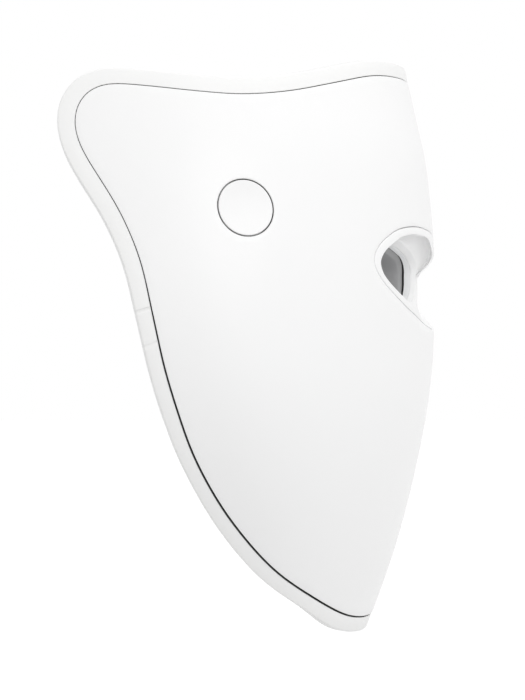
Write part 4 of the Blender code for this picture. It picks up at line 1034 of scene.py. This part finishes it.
def make_light_board(name, outline):
    """Makes a light board with its lamps, each a square body with a round gel window."""
    board = panel("board_" + name, lambda offset: outline, [], BOARD_FRONT, BOARD_BACK, BOARD_GRID, 0.0)
    mark(board, [])  # so that the lamps' marks stay when they are joined to it
    round_form = circle(0.0, 0.0, 1.0, LAMP_STEPS)
    square_form = np.sign(round_form) * np.abs(round_form) ** 0.3
    lamps = []
    for place in lamp_places(outline):
        sections = [(square_form * LAMP_HALF, BOARD_BACK), (square_form * LAMP_HALF, LAMP_BACK - LAMP_HEIGHT / 4),
                    (square_form * LAMP_HALF * 0.93, LAMP_BACK), (round_form * LAMP_HALF * 0.76, LAMP_BACK),
                    (round_form * LAMP_HALF * 0.70, LAMP_BACK - LAMP_HEIGHT / 5),
                    (round_form * LAMP_HALF * 0.35, LAMP_BACK - LAMP_HEIGHT / 10)]
        lamp = ring("lamp", [(loop + place, depth) for loop, depth in sections], capped=True)
        mark(lamp, [*range(4 * LAMP_STEPS, 5 * LAMP_STEPS), len(lamp.data.polygons) - 1])
        lamps.append(lamp)
    join(board, lamps)
    wrap(board)
    dress(board, board_white, ["light_board_" + name], further=[lamp_gel])


def make_screws():
    """Spins one pan-head screw, cuts its cross, and sets a copy in each of the liner's six holes."""
    back = BEHIND_LINER + SCREW_HEAD
    radius = SCREW_HEAD_RADIUS
    profile = [(0.0, RIM_DEPTH - SCREW_BITE), (SCREW_SHAFT_RADIUS * 0.6, RIM_DEPTH - SCREW_BITE),
               (SCREW_SHAFT_RADIUS, RIM_DEPTH - SCREW_BITE * 0.9), (SCREW_SHAFT_RADIUS, BEHIND_LINER),
               (radius * 0.97, BEHIND_LINER), (radius, BEHIND_LINER + SCREW_HEAD * 0.1)]
    for i in range(7):
        angle = math.pi / 2 * i / 6
        profile.append((radius * (0.30 + 0.70 * math.cos(angle * 0.9)) if i < 6 else 0.0,
                        back - SCREW_HEAD * 0.62 * (1 - math.sin(angle))))
    first = spun("screw", profile, Vector((0.0, 0.0, 0.0)), SCREW_STEPS)
    for wide, tall in ((SCREW_CROSS, SCREW_CROSS_WIDTH / 2), (SCREW_CROSS_WIDTH / 2, SCREW_CROSS)):
        bpy.ops.mesh.primitive_cube_add(size=2.0, location=(0.0, 0.0, back))
        cutter = bpy.context.active_object
        cutter.scale = (wide, tall, SCREW_HEAD * 0.6)
        bpy.ops.object.transform_apply(location=True, rotation=True, scale=True)
        carve(first, cutter)
    for number, (along, up) in enumerate(screw_places(), 1):
        screw = bpy.data.objects.new("screw_%d" % number, first.data.copy())
        bpy.context.collection.objects.link(screw)
        screw.data.transform(Matrix.Translation((along, up, 0.0)) @ Matrix.Rotation(number * 0.7, 4, "Z"))
        wrap(screw)
        dress(screw, steel, ["liner_screw_%d" % number], sharp=30)
    bpy.data.objects.remove(first, do_unlink=True)


# Soft pieces

def make_nose_pad():
    """Makes the saddle that rests on the nose bridge: two soft wings with a groove between."""
    seat = SEAT_SETBACK + FRONT_REACH
    half = NOSE_PAD_HALF
    right = [(0.97, BEHIND_LINER), (1.0, BEHIND_LINER + 0.0003), (0.99, BEHIND_LINER + 0.0022),
             (0.90, BEHIND_LINER + 0.0045), (0.88, (BEHIND_LINER + seat) / 2), (0.90, seat - 0.0040),
             (0.97, seat + NOSE_PAD_WING * 0.30), (0.955, seat + NOSE_PAD_WING * 0.72),
             (0.87, seat + NOSE_PAD_WING * 0.96), (0.74, seat + NOSE_PAD_WING),
             (0.61, seat + NOSE_PAD_WING * 0.86), (0.46, seat + NOSE_PAD_WING * 0.50),
             (0.30, seat + NOSE_PAD_WING * 0.18), (0.14, seat), (0.0, seat)]
    run = smooth_run(right[2:-1], 4)
    run = np.vstack((right[:2], run, right[-1:]))
    profile = np.vstack((run, run[-2::-1] * (-1, 1))) * (half, 1)
    middle = (NOSE_PAD_LOW + NOSE_PAD_HIGH) / 2
    reach = (NOSE_PAD_HIGH - NOSE_PAD_LOW) / 2
    share = np.sin(np.linspace(-math.pi / 2, math.pi / 2, 25))
    ups = middle + reach * share
    end = np.clip((reach - np.abs(ups - middle)) / NOSE_PAD_END_ROUND, 0.0, 1.0)
    pinch = NOSE_PAD_END_ROUND * (1 - np.sqrt(1 - (1 - end) ** 2))
    sections = []
    for along, depth in profile:
        lift = ramp(BEHIND_LINER + 0.002, BEHIND_LINER + 0.006, depth)
        across = along - np.sign(along) * np.minimum(abs(along), pinch)
        waist = 1 - 0.07 * np.cos(share * math.pi / 2) * lift
        sections.append((np.stack((across * waist, ups), axis=1), depth - pinch * lift))
    pad = ring("nose_saddle", sections, closed_run=False)
    wrap(pad)
    dress(pad, silicone_white, ["nose_pad"], sharp=60)


def make_forehead_pad():
    """Makes the long crowned cushion that rests on the forehead."""
    low, high = (reach_at(share) for share in FOREHEAD_PAD_SHARES)
    half_height = (high - low) / 2
    back = BEHIND_LINER + FOREHEAD_PAD_WALL - FOREHEAD_PAD_CROWN
    profile = [(half_height * 0.96, BEHIND_LINER), (0.0003, BEHIND_LINER), (0.0, BEHIND_LINER + 0.0004),
               (0.0002, BEHIND_LINER + FOREHEAD_PAD_WALL * 0.3)]
    for i in range(8):
        angle = math.pi / 2 * i / 7
        profile.append((FOREHEAD_PAD_ROUND * (1 - math.cos(angle)),
                        back - FOREHEAD_PAD_ROUND * (1 - math.sin(angle))))
    for share in (0.65, 0.82, 0.96):
        crown = (share - FOREHEAD_PAD_ROUND / half_height) / (1 - FOREHEAD_PAD_ROUND / half_height)
        profile.append((half_height * share, back + FOREHEAD_PAD_CROWN * math.sin(crown * math.pi / 2)))
    sections = []
    for inset, depth in profile:
        corner = half_height - inset
        loop = rounded_box(FOREHEAD_PAD_HALF - inset, low + inset, high - inset, corner * 0.999, 8)
        sections.append((even_loop(loop, 96), depth))
    pad = ring("forehead_cushion", sections, capped=True)
    wrap(pad)
    dress(pad, silicone_white, ["forehead_pad"], sharp=60)


def make_seal():
    """Makes the soft seal round the edge: a flat foot and a lip that leans inwards."""
    front = RIM_DEPTH + SEAM_GAP
    foot = front + SEAL_FOOT_WALL
    lip = front + SEAL_LIP_DEPTH
    outer = -RIM_WALL / 4
    thick = SEAL_LIP_WALL
    profile = [(-SEAL_FOOT, 0.0, front), (outer, 1.0, front), (outer, 1.0, foot)]
    rows = 6
    for i in range(1, rows):
        share = i / rows
        profile.append((outer - SEAL_LEAN * share ** 1.5, 1.0, foot + (lip - foot - thick / 2) * share))
    tip = outer - SEAL_LEAN - thick / 2
    profile += [(offset, 1.0, depth) for offset, depth in
                rounded_corner(tip, lip - thick / 2, thick / 2, 0, 180)]
    for i in range(rows - 1, 0, -1):
        share = i / rows
        profile.append((outer - thick - SEAL_LEAN * share ** 1.5, 1.0, foot + (lip - foot - thick / 2) * share))
    profile += [(outer - thick, 1.0, foot), (-SEAL_FOOT, 0.0, foot)]
    seal = ring("seal", [(around_shell(offset, share), depth) for offset, share, depth in profile])
    wrap(seal)
    dress(seal, silicone_white, ["light_seal"], sharp=60)


make_shell()
make_rim()
make_liner()
make_screws()
for name, outline in board_outlines().items():
    make_light_board(name, outline)
make_seal()
make_nose_pad()
make_forehead_pad()
for side, name in SIDES:
    make_anchor(side, name)
    make_bezel(side, name)
    make_cup(side, name)
    make_button(side, name)

CAD_FINISHES = {
    "switch_board": board_green, "main_board": board_green, "battery_cell": cell_foil,
    "charging_socket": steel, "socket_board": board_green}
for node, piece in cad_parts.items():
    for start, finish in CAD_FINISHES.items():
        if node.startswith(start):
            piece.data.materials.clear()
            piece.data.materials.append(finish)


# Ground, light and camera

FLOOR_SIZE = 24.0
FLOOR_HEIGHT = -0.30
FLOOR_TONE = 0.62
FLOOR_LIFT = 0.44
DOME_BRIGHT_SIDE = (-0.05, -0.36, 0.93)
DOME_LOW = 0.24
DOME_HIGH = 1.22
LIGHT_AIM = (0.0, 0.02, 0.0)
KEY_PLACE = (-1.1, -0.8, 1.2)
KEY_SIZE = 1.6
KEY_POWER = 0.8
FILL_PLACE = (-1.5, -0.35, 0.25)
FILL_SIZE = 1.0
FILL_POWER = 3.8
CAMERA_PLACE = (-1.25, 0.0305, -0.0239)
CAMERA_HEIGHT_ANGLE = 11.65


def seen_directly(nodes, links):
    """Gives 1 for what the camera, a glossy piece or a clear piece sees, and 0 for plain light."""
    path = nodes.new("ShaderNodeLightPath")
    seen = path.outputs["Is Camera Ray"]
    for kind in ("Is Glossy Ray", "Is Transmission Ray"):
        either = nodes.new("ShaderNodeMath")
        either.operation = "MAXIMUM"
        links.new(seen, either.inputs[0])
        links.new(path.outputs[kind], either.inputs[1])
        seen = either.outputs["Value"]
    return seen


def make_stage():
    """Lays a pale floor that the camera sees as white, with the mask's shadow on it."""
    bpy.ops.mesh.primitive_plane_add(size=FLOOR_SIZE, location=(0.0, 0.0, FLOOR_HEIGHT))
    floor = bpy.context.active_object
    floor.name = "floor"
    ground = bpy.data.materials.new("white_ground")
    ground.use_nodes = True
    nodes, links = ground.node_tree.nodes, ground.node_tree.links
    paint = nodes["Principled BSDF"]
    paint.inputs["Base Color"].default_value = (FLOOR_TONE, FLOOR_TONE, FLOOR_TONE, 1.0)
    paint.inputs["Roughness"].default_value = 0.9
    paint.inputs["Specular IOR Level"].default_value = 0.0
    glow = add_node(nodes, "Emission", {"Strength": FLOOR_LIFT})
    both = nodes.new("ShaderNodeAddShader")
    links.new(paint.outputs["BSDF"], both.inputs[0])
    links.new(glow.outputs["Emission"], both.inputs[1])
    mix = nodes.new("ShaderNodeMixShader")
    links.new(seen_directly(nodes, links), mix.inputs["Fac"])
    links.new(paint.outputs["BSDF"], mix.inputs[1])
    links.new(both.outputs["Shader"], mix.inputs[2])
    links.new(mix.outputs["Shader"], nodes["Material Output"].inputs["Surface"])
    floor.data.materials.append(ground)


def area_light(name, place, size, power):
    """Sets a round soft lamp that shines on the mask."""
    light = bpy.data.lights.new(name, "AREA")
    light.shape = "DISK"
    light.size = size
    light.energy = power
    lamp = bpy.data.objects.new(name, light)
    lamp.location = place
    lamp.rotation_euler = (Vector(LIGHT_AIM) - Vector(place)).to_track_quat("-Z", "Y").to_euler()
    bpy.context.collection.objects.link(lamp)


def make_light():
    """Lights the mask with a studio dome, brighter above and in front, and two large soft lamps."""
    world = bpy.data.worlds.new("studio")
    world.use_nodes = True
    bpy.context.scene.world = world
    nodes, links = world.node_tree.nodes, world.node_tree.links
    dome = nodes["Background"]
    dome.inputs["Color"].default_value = (1.0, 1.0, 1.0, 1.0)
    place = nodes.new("ShaderNodeTexCoord")
    height = nodes.new("ShaderNodeVectorMath")
    height.operation = "DOT_PRODUCT"
    height.inputs[1].default_value = DOME_BRIGHT_SIDE
    links.new(place.outputs["Generated"], height.inputs[0])
    level = add_node(nodes, "MapRange", {"From Min": -1.0, "To Min": DOME_LOW, "To Max": DOME_HIGH})
    links.new(height.outputs["Value"], level.inputs["Value"])
    links.new(level.outputs["Result"], dome.inputs["Strength"])
    white = add_node(nodes, "Background", {"Color": (1.0, 1.0, 1.0, 1.0), "Strength": 1.0})
    mix = nodes.new("ShaderNodeMixShader")
    links.new(seen_directly(nodes, links), mix.inputs["Fac"])
    links.new(dome.outputs["Background"], mix.inputs[1])
    links.new(white.outputs["Background"], mix.inputs[2])
    links.new(mix.outputs["Shader"], nodes["World Output"].inputs["Surface"])
    area_light("key", KEY_PLACE, KEY_SIZE, KEY_POWER)
    area_light("fill", FILL_PLACE, FILL_SIZE, FILL_POWER)


def make_camera():
    """Sets the camera square to the mask's right side."""
    lens = bpy.data.cameras.new("camera")
    lens.sensor_fit = "VERTICAL"
    lens.angle = math.radians(CAMERA_HEIGHT_ANGLE)
    camera = bpy.data.objects.new("camera", lens)
    camera.location = CAMERA_PLACE
    camera.rotation_euler = (math.radians(90), 0.0, math.radians(-90))
    bpy.context.collection.objects.link(camera)
    bpy.context.scene.camera = camera


make_stage()
make_light()
make_camera()
bpy.context.scene.view_settings.view_transform = "Standard"
